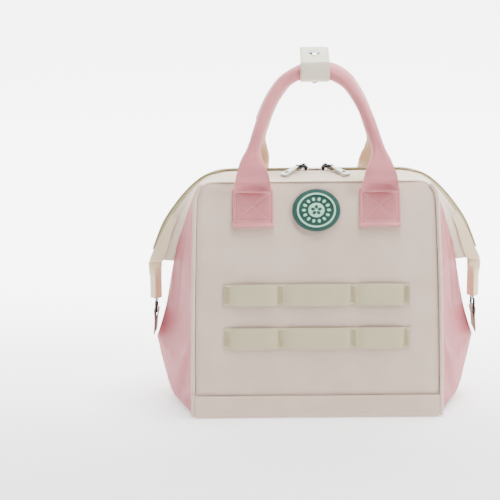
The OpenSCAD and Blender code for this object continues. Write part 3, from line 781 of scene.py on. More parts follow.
def wing_seam():
    """The right wing's seam edge as rows of (u across the side cloth, x, z), from the corner outwards."""
    edge = inner_path[len(inner_path) // 2:]
    edge = edge[(edge[:, 2] < 229 * MM)]
    y0 = -face_y(edge[:, 2]) + 3.4 * MM
    u = (edge[:, 1] - y0) / (-crest_y(edge[:, 2]) - y0)
    start = [0, edge_x(228.5 * MM) + 1.8 * MM, 228.5 * MM]
    finish = [1, edge[-1, 0] + 0.4 * MM, edge[-1, 2] - 0.6 * MM]
    return np.vstack([start, np.stack([u, edge[:, 0] + 0.9 * MM, edge[:, 2] - 0.5 * MM], 1), finish])


def gusset_grid(drop, bottom, inset, rows=46, cols=25):
    """Right side cloth from the front seam (first column) to the crest (last column)."""
    u = np.linspace(0, 1, cols)[None]
    r = np.linspace(0, 1, rows)[:, None]
    seam = wing_seam()
    top = np.interp(u[0], seam[:, 0], seam[:, 2])[None] - drop
    z = np.where(r < 0.4, bottom + (FOLD_Z - bottom) * r / 0.4, FOLD_Z + (top - FOLD_Z) * (r - 0.4) / 0.6)
    x0, y0 = edge_x(z) + 1.8 * MM, -face_y(z) + 3.4 * MM
    spread = 1 - np.power(1 - u, 1 + 1.4 * np.clip((z - 110 * MM) / (80 * MM), 0, 1))
    x = x0 + (crest_x(z) - x0) * spread
    x = x + (np.interp(u[0], seam[:, 0], seam[:, 1])[None] - x[-1:]) * smooth01((r - 0.6) / 0.4)
    y = y0 + (-crest_y(z) - y0) * u
    grid = points(x, y, z)
    normal = unit(points(np.abs(y0 + crest_y(z)) + 0 * x, -np.abs(crest_x(z) - x0), 0))
    return grid - normal * inset, normal


grid, normal = gusset_grid(0, 2 * MM, 0.2 * MM)
held = border(grid.shape[:2])
rough = grid + normal * (0.35 * MM * wobble(grid, 18 * MM, 9))[..., None] * (~held)[..., None]
loose = settle(rough, held, push=0.35, frames=26, shrink=0.012, stiffness=8)
shift = np.clip(np.sum((loose - grid) * normal, 2), -0.9 * MM, 1.6 * MM)
# one soft vertical fold above the point
u, z = np.linspace(0, 1, grid.shape[1])[None], grid[..., 2]
fold = -1.1 * MM * np.exp(-((u - 0.62 + 0.25 * (z - 0.1) / 0.1) / 0.05) ** 2)
fold = fold * smooth01((z - 70 * MM) / (60 * MM))
gusset_shape = grid + normal * (shift * 0.9 + fold * (~held))[..., None]


def round_crest(grid, normal):
    """The side cloth carried on from the crest to the middle, where the other half meets it."""
    edge, way_out = grid[:, -1:], normal[:, -1:]
    t = np.linspace(0, 1, 6)[1:][None, :, None]
    more = edge * np.array([1, 0, 1]) + edge * np.array([0, 1, 0]) * (1 - t)
    more[..., 0] += 0.12 * np.abs(edge[..., 1]) * np.sin(0.5 * np.pi * t[..., 0])
    side_out = way_out + (np.array([1.0, 0, 0]) - way_out) * t
    return np.concatenate([grid, more], 1), np.concatenate([normal, unit(side_out)], 1)


def blend_to_side(obj):
    """Bakes the cloth's placement into its mesh."""
    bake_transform(obj)


gusset_shape, gusset_out = round_crest(gusset_shape, normal)
low, low_out = round_crest(*gusset_grid(3 * MM, 7 * MM, 5.2 * MM, 24, 14))
for side, s in (("right", 1), ("left", -1)):
    for end, way in (("front", 1), ("rear", -1)):
        flip = np.array([s, way, 1])
        half = thick_sheet(f"{side}_gusset_{end}_cloth", gusset_shape * flip, 1.3 * MM, "shaded_pink_cloth",
                           gusset_out * flip, sharp=70)
        blend_to_side(half)
        liner = thick_sheet(f"{side}_gusset_lining_{end}_cloth", low * flip, 0.5 * MM, "lining_cloth",
                            low_out * np.array([-s, -way, 1]))
        if end == "front":
            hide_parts(f"{side}_gusset")
            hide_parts(f"{side}_gusset_lining")
        blend_to_side(liner)


def corner_cloth(corner, way, seam, s):
    """The cloth that closes the corner between a panel, its side cloth and the placket."""
    arc = np.radians(np.linspace(88, 8, 14))
    x = edge_x(RIM - corner) - corner + (corner + 0.4 * MM) * np.cos(arc)
    z = RIM - corner + (corner + 0.4 * MM) * np.sin(arc)
    at_panel = np.stack([x, -face_y(z) + 1.4 * MM, z], 1)
    near = seam[(seam[:, 0] > x[0]) & (seam[:, 2] > z[-1])]
    at_mouth = resample(near, 14) + np.array([0, 0.6 * MM, -0.6 * MM])
    grid = at_panel[:, None] + (at_mouth - at_panel)[:, None] * np.linspace(0, 1, 6)[None, :, None]
    flip = np.array([s, way, 1])
    out = np.array([0.5, -0.5, 0.7]) * flip
    return thick_sheet("corner_cloth", grid * flip, 0.5 * MM, "piping_cloth", out, edge=0.1 * MM)


for s in (-1, 1):
    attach(corner_cloth(CORNER, 1, inner_path, s), "front_side")
    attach(corner_cloth(REAR_CORNER, -1, rear_inner, s), "rear_side")


# ---------------------------------------------------------------- mouth: plackets, tapes, coils


def placket_grid(seam):
    """Two layers of cloth folded over the wire: a roll along the zip edge, a pucker at the seam."""
    v = np.linspace(0, 1, 15)
    grid = outer_path[:, None] + (seam - outer_path)[:, None] * v[None, :, None]
    d = v[None] * width[:, None]
    left = width[:, None] - d
    lift = -0.55 * MM + 0.5 * MM * np.exp(-((d - 5 * MM) / (3 * MM)) ** 2)
    lift = lift - 0.35 * MM * np.exp(-((d - 9.5 * MM) / (1.0 * MM)) ** 2)
    lift = lift + 0.22 * MM * wobble(grid, 13 * MM, 11) * smooth01(d / (6 * MM)) * smooth01(left / (6 * MM))
    lift = lift + 0.3 * MM * np.exp(-((left - 3 * MM) / (2.5 * MM)) ** 2)
    return grid - inward[:, None] * lift[..., None]


plackets = []
for end, way, seam in (("front", 1, inner_path), ("rear", -1, rear_inner)):
    grid = placket_grid(seam) * np.array([1, way, 1])
    out = -inward[:, None] * np.array([1, way, 1]) + 0 * grid
    plackets.append((thick_sheet(f"{end}_placket_cloth", grid, 1.3 * MM, "lit_cream_cloth", out), end, way))
for obj, end, way in plackets:
    stand_in(obj, f"{end}_placket", f"{end}_mouth")
    flip = np.array([1, way, 1])
    rows = []
    for k, (inset, lift) in enumerate(((1.6 * MM, -0.5 * MM), (9.5 * MM, -0.8 * MM))):
        path = (outer_path + across * inset - inward * lift)[2:-2] * flip
        rows.append(stitches(f"{end}_placket_stitch_{k}", path, -inward[2:-2] * flip, pitch=3.6 * MM))
    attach(join(f"{end}_placket_stitches", rows), f"{end}_mouth")

# the strips of zip tape that show between the plackets and the coil
flat_in = unit(inward * np.array([1, 0, 1]))
tape_low = outer_path + across * 2.6 * MM + inward * 2.2 * MM
below = 2.6 * MM - 1.9 * MM * smooth01((np.abs(coil_path[:, 0]) - 96 * MM) / (14 * MM))
tape_coil = coil_path - np.array([0, 0.9 * MM, 0]) + flat_in * below[:, None]
v = np.linspace(0, 1, 6)
tape_grid = (tape_low[:, None] + (tape_coil - tape_low)[:, None] * v[None, :, None])[1:-1]
front_tape = thick_sheet("front_zip_tape_cloth", tape_grid, 0.5 * MM, "tape",
                         -inward[1:-1, None] + 0 * tape_grid)
rear_tape = mirrored(front_tape, "rear_zip_tape_cloth")
stand_in(front_tape, "front_zip_tape", "front_mouth")
stand_in(rear_tape, "rear_zip_tape", "rear_mouth")

COIL_R = 1.05 * MM
COIL_WIRE = 0.32 * MM
COIL_PITCH = 1.6 * MM
COIL_START = 13 * MM                 # the sliders cover the middle


def coil_teeth(way):
    """A closely wound nylon coil on a core cord, to the left and right of the sliders."""
    half = coil_path[len(coil_path) // 2:]
    half = half[half[:, 0] > COIL_START]
    half = np.vstack([[COIL_START, half[0, 1], half[0, 2]], half])[:-1]
    line = resample(half, int(length(half) / COIL_PITCH) * 6 + 1)
    t = unit(np.gradient(line, axis=0))
    side = unit(np.cross(t, np.array([0, 1.0, 0.02])))
    up = np.cross(side, t)
    angle = np.arange(len(line)) * 2 * math.pi / 6
    helix = line + (COIL_R - COIL_WIRE) * (np.cos(angle)[:, None] * side + np.sin(angle)[:, None] * up)
    parts = []
    for s in (-1, 1):
        flip = np.array([s, way, 1])
        parts.append(tube(f"helix_{s}_{way}", helix * flip, COIL_WIRE, "coil", 5))
        parts.append(tube(f"core_{s}_{way}", resample(line, 60) * flip, 0.55 * MM, "coil", 6))
    return parts


for end, way in (("front", 1), ("rear", -1)):
    stand_in(join(f"{end}_zip_coil_teeth", coil_teeth(way)), f"{end}_zip_coil", f"{end}_mouth")

# ---------------------------------------------------------------- webbings on the front

tack_x = np.array([-91, -37, 37, 91]) * MM
WEB_W = 22 * MM


def on_front(x, z_mid, up, out):
    """Point on the front face near height z_mid: up along the face, out from it."""
    tilt = math.atan(face_slope(z_mid))
    return points(x, -face_y(z_mid) + np.sin(tilt) * up - np.cos(tilt) * out,
                  z_mid + np.cos(tilt) * up + np.sin(tilt) * out)


def webbing_piece(name, z_mid, node):
    """One webbing, held down at its bartacks and standing off a little between them."""
    x = np.linspace(-94, 94, 190)[:, None] * MM
    v = np.linspace(-0.5, 0.5, 9)[None] * WEB_W
    d = np.min(np.abs(x - tack_x), 1, keepdims=True) - 4 * MM
    stand = 0.5 * MM + np.where(d > 0, 2.2 * MM * (1 - np.exp(-np.maximum(d, 0) / (4 * MM))), 0)
    free = stand / stand.max()
    sag = 0.35 * MM * wobble(points(x, 0, v * 0.3), 21 * MM, 13) * free
    curl = 0.25 * MM * (1 - (2 * v / WEB_W) ** 2)
    grid = on_front(x, z_mid, v * 0.98 + sag, stand + 0.8 * MM + curl * free + sag)
    obj = thick_sheet(name, grid, 1.1 * MM, "webbing", (0, -1, 0.2), edge=0.3 * MM)
    stand_in(obj, node, "front_side")


def bartack(z_mid, x_mid, wide, rows):
    """A block of zigzag stitching across the webbing."""
    k = np.arange(rows * 2)
    up = np.linspace(-0.42, 0.42, len(k)) * WEB_W
    x = x_mid + np.where(k % 2 == 0, -0.5, 0.5) * wide
    return on_front(x, z_mid, up, 1.6 * MM)


tacks = []
for node, z_mid in (("upper_webbing", 128 * MM), ("lower_webbing", 84 * MM)):
    webbing_piece(f"{node}_woven", z_mid, node)
    for k, x_mid in enumerate(tack_x):
        path = bartack(z_mid, x_mid - 0.4 * MM * np.sign(x_mid), 5.6 * MM, 13)
        tacks.append(tube(f"tack_{node}_{k}", path, 0.3 * MM, "lit_tack_thread", 5))
stand_in(join("webbing_bartack_threads", tacks), "webbing_bartacks", "front_side")

# ---------------------------------------------------------------- badge


BADGE_Z = 211 * MM
BADGE_OVAL = 0.89                    # height over width, as in the photo
tilt = math.atan(face_slope(BADGE_Z))
centre = on_front(0.0, BADGE_Z, 0.0, 0.9 * MM)
up = np.array([0, math.sin(tilt), math.cos(tilt)]) * BADGE_OVAL
out = np.array([0, -math.cos(tilt), math.sin(tilt)])


def lathe(name, profile, material, teeth=0, depth=0.0, count=192, ring=False):
    """A round of profile points (radius, height) about the badge's axis, with an optional toothed rim.
    A ring's profile closes on itself, and anything else is capped flat."""
    a = np.arange(count)[None] * 2 * math.pi / count
    profile = np.asarray(profile, float) * MM
    radius, height = profile[:, :1], profile[:, 1:]
    r = radius * np.where(radius > 22 * MM, 1 + depth * (np.cos(a * teeth) > 0), 1)
    pts = centre + points(r * np.cos(a), 0, 0) + (r * np.sin(a))[..., None] * up + height[..., None] * out
    n = len(profile)
    faces = list(grid_faces(n, count, wrap=True))
    if ring:
        last = np.arange(count) + (n - 1) * count
        following = np.roll(last, -1)
        faces += list(np.stack([last, following, following - (n - 1) * count, last - (n - 1) * count], 1))
    else:
        faces += end_faces(n, count)
    return mesh_object(name, pts.reshape(-1, 3), faces, material, sharp=35)


# radius and height in millimetres
body = [(23.6, 0), (24, 0.3), (24, 2.0), (23.5, 2.7), (22.4, 3.0), (19.9, 3.0), (19.7, 2.7), (17.6, 2.7),
        (17.4, 3.0), (16.9, 3.0), (16.6, 2.5), (8.4, 2.5), (8.2, 2.9), (0.1, 2.9)]
body = lathe("badge_body", body, "badge_rubber", teeth=60, depth=0.016, count=360)
stand_in(body, "badge_base", "front_side")
marks = [lathe("badge_ring", [(17.7, 2.6), (17.8, 3.4), (18.1, 3.6), (19.3, 3.6), (19.6, 3.4), (19.7, 2.6)],
               "badge_pale", ring=True),
         lathe("badge_disc", [(8.2, 2.8), (8.1, 3.4), (7.8, 3.6), (0.1, 3.6)], "badge_pale")]


def badge_dots(material, ring, size, count, low, high, turn=0.0, oval=1.0):
    """Raised dots in a ring about the badge's middle."""
    verts, faces, sides = [], [], 20
    b = np.arange(sides)[:, None] * 2 * math.pi / sides
    for k in range(count):
        a = 2 * math.pi * k / count + turn
        radial, tangent = np.array([math.cos(a), math.sin(a)]), np.array([-math.sin(a), math.cos(a)])
        start = len(verts)
        for height, shrink in ((low, 1.0), (high - 0.2 * MM, 1.0), (high, 0.8)):
            q = radial * ring + size * shrink * (np.cos(b) * radial * oval + np.sin(b) * tangent)
            verts.extend(centre + points(q[:, 0], 0, 0) + q[:, 1:] * up + height * out)
        faces += list(grid_faces(3, sides, start, wrap=True)) + end_faces(3, sides, start)[1:]
    return mesh_object("badge_dots", verts, faces, material, sharp=40)


marks.append(badge_dots("badge_pale", 12.6 * MM, 1.5 * MM, 14, 2.4 * MM, 3.5 * MM, oval=1.35))
stand_in(join("badge_marks", marks), "badge_relief", "front_side")
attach(badge_dots("badge_rubber", 3.6 * MM, 1.9 * MM, 5, 3.3 * MM, 3.75 * MM, turn=math.pi / 2, oval=1.2),
        "front_side")

# ---------------------------------------------------------------- handles

FOOT_W = 41 * MM
tab_low, tab_high = box("front_right_tab")
SEWN_X = 17.6 * MM                   # the box of stitches: half width, bottom and top
SEWN_LOW, SEWN_HIGH = tab_low[2] + 8 * MM, tab_high[2] - 1 * MM


def tab_piece(name, s):
    """The sewn foot of the handle: flat, its lower end folded under, with a box and cross of stitches."""
    z = np.linspace(tab_low[2] + 0.6 * MM, tab_high[2] + 2.5 * MM, 62)
    x = np.linspace(-0.5, 0.5, 67)
    zz, xx = np.meshgrid(z, x, indexing="ij")
    low = zz - z[0]
    wide = FOOT_W * (1 + 0.05 * np.exp(-low / (3 * MM)))
    up = 1.9 * MM + 2.9 * MM * np.exp(-((low - 2.2 * MM) / (1.7 * MM)) ** 2)
    up = up * (0.25 + 0.75 * np.sqrt(np.clip(low / (1.4 * MM), 0, 1)))
    px = np.abs(xx * FOOT_W)
    lines = np.minimum.reduce([np.abs(px - SEWN_X), np.abs(zz - SEWN_HIGH), np.abs(zz - SEWN_LOW)])
    h = (SEWN_HIGH - SEWN_LOW) / 2
    cross = np.abs(px / SEWN_X - np.abs((zz - SEWN_LOW - h) / h)) * 9 * MM
    inside = (px < SEWN_X) & (zz > SEWN_LOW) & (zz < SEWN_HIGH)
    groove = 0.7 * MM * np.exp(-(lines / (0.9 * MM)) ** 2)
    groove = groove + 0.6 * MM * np.exp(-(cross / (1.0 * MM)) ** 2) * inside
    up = up - groove + 0.12 * MM * wobble(points(xx * FOOT_W, 0, zz), 7 * MM, 3 + s)
    grid = points(s * HANDLE_X + xx * wide, -face_y(zz) - up, zz)
    obj = thick_sheet(name, grid, 1.5 * MM, "pink_cloth", (0, -1, 0), edge=0.6 * MM)
    a, b, c, d = (-SEWN_X, SEWN_LOW), (SEWN_X, SEWN_LOW), (-SEWN_X, SEWN_HIGH), (SEWN_X, SEWN_HIGH)
    rows = []
    for p, q in ((a, b), (c, d), (a, c), (b, d), (a, d), (c, b)):
        x, z = (np.linspace(0, 1, 12)[:, None] * (np.array(q) - p) + p).T
        path = points(s * HANDLE_X + x, -face_y(z) - 1.45 * MM, z)
        rows.append(stitches("tab row", path, (0, -1, 0), "pink_thread", pitch=2.8 * MM, long=1.9 * MM,
                             radius=0.26 * MM))
    return obj, join(f"{name}_stitches", rows)


for side, s in (("left", -1), ("right", 1)):
    tab, rows = tab_piece(f"front_{side}_tab_cloth", s)
    rear_tab = mirrored(tab, f"rear_{side}_tab_cloth")
    rear_rows = mirrored(rows, f"rear_{side}_tab_stitches")
    for obj, end in ((tab, "front"), (rear_tab, "rear")):
        stand_in(obj, f"{end}_{side}_tab", f"{end}_side")
    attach(rows, "front_side")
    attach(rear_rows, "rear_side")

# centre line in millimetres: x, y, z, width, depth
handle_half = [(0, -10.5, 348, 15, 15), (17, -11.1, 345.4, 15, 15), (32.5, -15, 336, 14, 15),
               (44, -22.5, 320, 13.4, 14.5), (51.8, -30, 304, 13.2, 14), (58, -37, 287, 13.2, 14),
               (62.4, -43.5, 272, 14.4, 11.5), (64, -49, 261, 22.5, 7), (64, -53, 250, 32, 4.4),
               (64, -53.4, 240.5, 36.5, 3.4), (64, -48.9, 230.5, 39, 2.6)]
hp = spline(np.array(handle_half) * MM, 9)
hp = np.vstack([hp[:0:-1] * np.array([-1, 1, 1, 1, 1]), hp])


def handle_mesh(name, way):
    """Padded tube that opens out into a flat cupped strap at each foot."""
    p, wide, deep = hp[:, :3], hp[:, 3].copy(), hp[:, 4]
    if way < 0:
        wide *= 1 - 0.08 * smooth01((wide - 18 * MM) / (8 * MM))
    t = unit(np.gradient(p, axis=0))
    depth_dir = unit(np.array([0, 1.0, 0]) - t * t[:, 1:2])
    wide_dir = np.cross(depth_dir, t)
    flat = np.clip((wide - 15.5 * MM) / (16 * MM), 0, 1)
    sides = 36
    a = np.arange(sides) * 2 * math.pi / sides
    power = 1 + (0.38 - 1) * flat
    c = np.sign(np.cos(a))[None] * np.abs(np.cos(a))[None] ** power[:, None]
    d = np.sign(np.sin(a))[None] * np.abs(np.sin(a))[None] ** power[:, None]
    # cloth creases that run along the tube, and a few across it
    run = np.r_[0, np.cumsum(np.linalg.norm(np.diff(p, axis=0), axis=1))]
    crease = (0.030 * np.sin(2 * a[None] + run[:, None] * 42 + way)
              + 0.022 * np.sin(5 * a[None] - run[:, None] * 90)
              + 0.018 * np.sin(3 * a[None] + 2.5 * np.sin(run[:, None] * 60)))
    crease = crease * (1 - 0.7 * flat[:, None])
    size_w = 0.5 * wide[:, None] * (0.965 + crease)
    size_d = 0.5 * deep[:, None] * (0.95 + crease)
    rings = (p[:, None] + (c * size_w)[..., None] * wide_dir[:, None]
             + (d * size_d)[..., None] * depth_dir[:, None])
    # the strap is a scoop: its middle lies back, its edges roll forward, and a crease runs on up the tube
    height = p[:, 2][:, None]
    scoop = 6.4 * MM * np.exp(-((height - 237.5 * MM) / (5.5 * MM)) ** 2)
    scoop = scoop - 1.2 * MM * np.exp(-((height - 253 * MM) / (9 * MM)) ** 2)
    scoop = scoop * smooth01((height - 230.5 * MM) / (3 * MM))
    middle = (1 - np.abs(c) ** 3.0) * np.where(d < 0, 1, 0.8)
    roll = 1.6 * MM * flat[:, None] * np.abs(c) ** 8
    line = 0.9 * MM * np.exp(-(c / 0.35) ** 2) * (d < 0)
    line = line * smooth01((300 * MM - height) / (30 * MM)) * (1 - flat[:, None])
    rings += (scoop * middle - roll + line)[..., None] * depth_dir[:, None]
    if way < 0:
        lean = smooth01((p[:, 2] - HANDLE_HINGE[1]) / (30 * MM))
        rings[..., 0] += (lean * (3.2 * MM - 2.2 * MM * np.clip(p[:, 0] / (40 * MM), -1, 1)))[:, None]
    rings = rings * np.array([1, way, 1])
    n = len(p)
    faces = grid_faces(n, sides, wrap=True, flip=(way < 0))
    verts = rings.reshape(-1, 3)
    uv = np.stack(np.meshgrid(run, a * 7 * MM, indexing="ij"), 2).reshape(-1, 2)
    faces = list(faces) + [face[::way] for face in end_faces(n, sides)]
    obj = mesh_object(name, verts, faces, "pink_cloth", uv, sharp=70)
    return obj, rings, depth_dir * np.array([1, way, 1])


for end, way in (("front", 1), ("rear", -1)):
    obj, rings, inner = handle_mesh(f"{end}_handle_cloth", way)
    height = rings[..., 2].mean(1)
    strips = []
    for s in (-1, 1):
        here = np.sign(rings[:, :, 0].mean(1)) == s
        idx = np.flatnonzero((height < 336 * MM) & (height > 233.5 * MM) & here)
        face = rings[idx][:, 2:17] + inner[idx][:, None] * 0.45 * MM
        strips.append(thick_sheet(f"{end}_handle_strip_{s}", face, 0.7 * MM, "shaded_handle_lining",
                                  inner[idx][:, None] + 0 * face, edge=0.2 * MM))
    strip = join(f"{end}_handle_strips", strips)
    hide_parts(f"{end}_handle")
    for piece in (obj, strip):
        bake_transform(piece)

# ---------------------------------------------------------------- wrap

sleeve_low, sleeve_high = box("wrap_sleeve")
flap_low = box("wrap_flap")[0]
WRAP_W = sleeve_high[0] - sleeve_low[0]
WRAP_OUT = 10.8 * MM                 # outer radius round the grip
WRAP_ROW = WRAP_W / 2 - 2.2 * MM     # the stitch rows' distance from the middle


def sleeve_piece():
    """Leather bent round the front grip, from its top front edge under the grip and up the back."""
    turn = np.radians(np.linspace(180, 395, 40))
    reach = WRAP_OUT - 0.1 * MM
    rise = np.linspace(9.5 * MM, 0.4 * MM, 8)
    y = -GRIP_Y + np.r_[-reach + 0.6 * MM * (rise / rise[0]) ** 2, reach * np.cos(turn)]
    z = GRIP_TOP - 1 * MM + np.r_[rise, reach * np.sin(turn)]
    x = np.linspace(-0.5, 0.5, 13) * (WRAP_W - 0.4 * MM)
    grid = points(x[None], y[:, None], z[:, None])
    out = points(0 * x[None], (y + GRIP_Y)[:, None], np.minimum(z - GRIP_TOP + 1 * MM, 0)[:, None])
    obj = thick_sheet("wrap_sleeve_leather", grid, 1.4 * MM, "leather", out, edge=0.4 * MM, sharp=60)
    rows = []
    for s in (-1, 1):
        path = grid[:, 6].copy()
        path[:, 0] = s * WRAP_ROW
        n = unit(out[:, 6])
        rows.append(stitches(f"sleeve_row_{s}", path[2:-2] + n[2:-2] * 0.1 * MM, n[2:-2], pitch=2.8 * MM))
    return obj, join("sleeve_stitches", rows)


sleeve, sleeve_rows = sleeve_piece()
stand_in(sleeve, "wrap_sleeve", "front_handle_body")
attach(sleeve_rows, "front_handle_body")


def flap_piece():
    """The flap, unsnapped and lying up and back, with rounded corners."""
    rise, reach, corner = math.radians(22), 34 * MM, 3 * MM
    root = np.array([0, flap_low[1] + 0.8 * MM, GRIP_TOP + 8.7 * MM])
    away, up = np.array([0, math.cos(rise), math.sin(rise)]), np.array([0, -math.sin(rise), math.cos(rise)])
    d = np.linspace(-0.5 * MM, reach, 26)[:, None]
    near = np.clip((d - (reach - corner)) / corner, 0, 1)
    x = np.linspace(-0.5, 0.5, 17) * ((WRAP_W - 0.4 * MM) - 2 * corner * (1 - np.sqrt(1 - near ** 2)))
    curve = 0.5 * MM * np.sin(np.pi * d / reach)
    grid = root + points(x, 0, 0) + d[..., None] * away + (0.75 * MM + curve)[..., None] * up
    obj = thick_sheet("wrap_flap_leather", grid, 1.4 * MM, "leather", up, edge=0.4 * MM, sharp=60)
    rows = []
    for s in (-1, 1):
        lift = 0.85 * MM + 0.5 * MM * np.sin(np.pi * np.linspace(0.06, 0.91, 30))
        run = np.linspace(2 * MM, reach - 3 * MM, 30)[:, None]
        path = root + np.array([s * WRAP_ROW, 0, 0]) + run * away + lift[:, None] * up
        rows.append(stitches(f"flap_row_{s}", path, up, pitch=2.8 * MM))
    return obj, join("flap_stitches", rows)


flap, flap_rows = flap_piece()
stand_in(flap, "wrap_flap", "flap_body")
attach(flap_rows, "flap_body")

# ---------------------------------------------------------------- wing ends, side straps, anchors


def wing_patch(end, way):
    """The strap's upper end, sewn over the outer corner of each wing."""
    pieces = []
    reach = np.linspace(0, 1, 12)
    outer, inner = outer_path[-14:], inner_path[-14:]
    sew = inward[-14:]
    for s in (-1, 1):
        p = resample(outer, 12) + resample(across[-14:], 12) * (0.1 - 2.4 * reach[:, None] ** 2) * MM
        q = p + resample(across[-14:], 12) * (9.5 + 4.5 * reach[:, None]) * MM
        n = -resample(sew, 12)
        v = np.linspace(0, 1, 8)[None, :, None]
        grid = p[:, None] * (1 - v) + q[:, None] * v + n[:, None] * 0.95 * MM
        foot = grid[-1].copy()
        foot[:, 2] = cap_high[2] + 0.25 * MM
        foot[:, 1] = -3.1 * MM
        middle = (grid[-1] + foot) / 2 + np.array([0, -0.5 * MM, 0])
        grid = np.concatenate([grid, middle[None], foot[None]])
        flip = np.array([s, way, 1])
        out = n[:1, None] * flip + 0 * grid
        pieces.append(thick_sheet("patch", grid * flip, 0.8 * MM, "strap_webbing", out, edge=0.25 * MM))
    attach(join(f"{end}_wing_patches", pieces), f"{end}_mouth")


wing_patch("front", 1)
wing_patch("rear", -1)


def side_strap(side, s):
    """Webbing folded lengthways, from the wing's end down to the ring."""
    z = np.linspace(strap_high[2] + 0.2 * MM, strap_low[2] - 0.2 * MM, 24)
    zz, vv = np.meshgrid(z, np.linspace(-1, 1, 15), indexing="ij")
    mid = (strap_low[0] + strap_high[0]) / 2
    fold_depth = smooth01((z[0] - zz) / (13 * MM))
    x = s * (mid + vv * (6.9 - 0.5 * fold_depth) * MM)
    y = -(2.2 + 1.5 * fold_depth) * MM + (2.2 + 6.4 * fold_depth) * MM * np.abs(vv) ** 1.15
    grid = points(x, y, zz)
    strap = thick_sheet(f"{side}_strap_webbing", grid, 1.1 * MM, "strap_webbing", (0, -1, 0), edge=0.3 * MM)
    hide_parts(f"{side}_strap")
    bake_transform(strap)


def end_cap(side, s):
    """The bound end of a wing."""
    middle, half = (cap_low + cap_high) / 2, (cap_high - cap_low) / 2
    u = np.linspace(0, 2 * math.pi, 25)[:-1]
    ex = np.sign(np.cos(u)) * np.abs(np.cos(u)) ** 0.5
    ey = np.sign(np.sin(u)) * np.abs(np.sin(u)) ** 0.8
    heights = (cap_high[2], cap_high[2] - 0.6 * MM, middle[2], cap_low[2] + 0.6 * MM, cap_low[2])
    rings = []
    for h, k in zip(heights, (0.86, 1.0, 1.03, 1.0, 0.86)):
        x = s * (middle[0] + half[0] * (1 - 0.3 * (1 - k)) * 0.99 * ex)
        rings.append(points(x, half[1] * k * 0.95 * ey, h))
    rings = np.array(rings)
    faces = list(grid_faces(5, 24, wrap=True)) + end_faces(5, 24)
    cap = mesh_object(f"{side}_end_cap_webbing", rings.reshape(-1, 3), faces, "strap_webbing",
                      rings[..., [2, 0]].reshape(-1, 2), sharp=60)
    stand_in(cap, f"{side}_end_cap", f"{side}_end")


def anchor_tab(side, s):
    """Webbing folded over the ring's lower bar and sewn into the side cloth's fold."""
    ring_x, ring_z = (ring_low[0] + ring_high[0]) / 2, ring_low[2] + 1.2 * MM
    a = np.radians(np.linspace(-25, 205, 20))
    loop = np.stack([ring_x + 2.9 * MM * np.cos(a), ring_z + 2.9 * MM * np.sin(a)], 1)
    foot = anchor_low[2] + 1 * MM
    t = np.linspace(0, 1, 14)
    middle = ring_x + (FOLD_X + 1.3 * MM - ring_x) * t
    apart = (2.7 - 1.0 * smooth01(t * 3)) * MM
    outer = np.stack([middle + apart, ring_z + (foot - ring_z) * t - 1.2 * MM * (1 - t)], 1)[::-1][:-1]
    inner = np.stack([middle - apart, ring_z + (foot + 4 * MM - ring_z) * t - 1.2 * MM * (1 - t)], 1)[1:]
    line = np.vstack([outer, loop, inner])
    x, z = line[:, :1], line[:, 1:]
    grid = points(s * x, np.linspace(-8.8, 8.8, 11) * MM, z)
    out = points(s * (x - ring_x), 0 * grid[..., 0], (z - ring_z) * 0.2)
    anchor = thick_sheet(f"{side}_anchor_webbing", grid, 1.5 * MM, "taupe_webbing", out, edge=0.3 * MM)
    stand_in(anchor, f"{side}_anchor_tab", "bag_base")


for side, s in (("right", 1), ("left", -1)):
    side_strap(side, s)
    end_cap(side, s)
    anchor_tab(side, s)

# ---------------------------------------------------------------- pieces that keep their CAD shape

CAD_LOOKS = {"gunmetal": ("left_slider", "right_slider", "left_link", "right_link", "left_ring",
                          "right_ring"),
             "pull_metal": ("left_pull", "right_pull", "snap_cap", "snap_socket", "snap_stud"),
             "steel_wire": ("front_wire", "rear_wire"),
             "rope": ("front_handle_core", "rear_handle_core"),
             "board": ("base_board",)}
for look, nodes in CAD_LOOKS.items():
    for node in nodes:
        materials = bpy.data.objects[node].data.materials
        materials.clear()
        materials.append(MATERIALS[look])

# ---------------------------------------------------------------- floor, light, camera


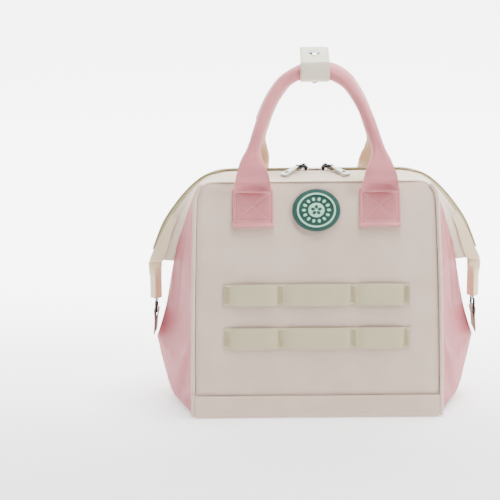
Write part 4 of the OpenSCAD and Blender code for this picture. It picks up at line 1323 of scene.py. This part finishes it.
def floor_and_backdrop():
    """A white floor that curves up into the backdrop and glows more the further back it is."""
    m, tree, shader = new_material("floor")
    finish_shader(shader, Base_Color=(0.93, 0.93, 0.93, 1), Roughness=0.85, Specular_IOR_Level=0.1,
                  Emission_Color=(1, 1, 1, 1))
    coord = add(tree, "ShaderNodeTexCoord")
    split = add(tree, "ShaderNodeSeparateXYZ")
    link(tree, coord.outputs["Object"], split, 0)
    far = add(tree, "ShaderNodeMapRange", interpolation_type="SMOOTHSTEP", From_Min=-0.3, From_Max=0.7,
              To_Min=0.15, To_Max=4.5)
    link(tree, split.outputs["Y"], far, "Value")
    link(tree, far.outputs[0], shader, "Emission Strength")
    curve = np.radians(np.linspace(0, 90, 24))[1:]
    run = np.vstack([np.stack([np.linspace(-4, 2.0, 12), np.zeros(12)], 1),
                     np.stack([2.0 + 1.2 * np.sin(curve), 1.2 - 1.2 * np.cos(curve)], 1),
                     [[3.2, 2.0], [3.2, 6.0]]])
    grid = points(np.linspace(-7, 7, 3), run[:, :1], run[:, 1:])
    mesh = new_mesh("floor", grid.reshape(-1, 3), grid_faces(len(run), 3))
    mesh.materials.append(m)
    mesh.shade_smooth()
    new_object("floor", mesh)


def turn_to(obj, where, rotation):
    obj.location = where
    obj.rotation_mode = "QUATERNION"
    obj.rotation_quaternion = rotation


def area_light(name, where, target, size, power):
    data = bpy.data.lights.new(name, "AREA")
    data.shape = "RECTANGLE"
    data.size, data.size_y = size
    data.energy = power
    turn_to(new_object(name, data), where, (Vector(target) - Vector(where)).to_track_quat("-Z", "Y"))


floor_and_backdrop()
world = bpy.data.worlds.new("studio")
world.use_nodes = True
finish_shader(world.node_tree.nodes["Background"], Color=(1, 1, 1, 1), Strength=0.07)
bpy.context.scene.world = world
area_light("key", (1.5, -1.0, 1.5), (0, 0, 0.15), (0.6, 0.6), 34)
area_light("top", (0.15, -0.1, 1.8), (0, 0, 0.1), (1.2, 0.7), 66)
area_light("fill", (-1.6, -1.5, 0.7), (0, 0, 0.15), (1.4, 1.2), 0.6)

AZIMUTH, ELEVATION, DISTANCE = math.radians(-2.2), math.radians(13), 1.6
FOCAL_PX = 0.953 / MM * DISTANCE
cam_data = bpy.data.cameras.new("camera")
cam_data.sensor_width = 36
cam_data.lens = 36 * FOCAL_PX / 500
camera = new_object("camera", cam_data)
level = math.cos(ELEVATION)
back = Vector((math.sin(AZIMUTH) * level, -math.cos(AZIMUTH) * level, math.sin(ELEVATION)))
# small turns put the bag where it is in the photo
turn = Quaternion((0, 1, 0), math.atan(64.4 / FOCAL_PX)) @ Quaternion((1, 0, 0), math.atan(8.4 / FOCAL_PX))
turn_to(camera, Vector((0, 0, 0.15)) + back * DISTANCE, (-back).to_track_quat("-Z", "Y") @ turn)
bpy.context.scene.camera = camera
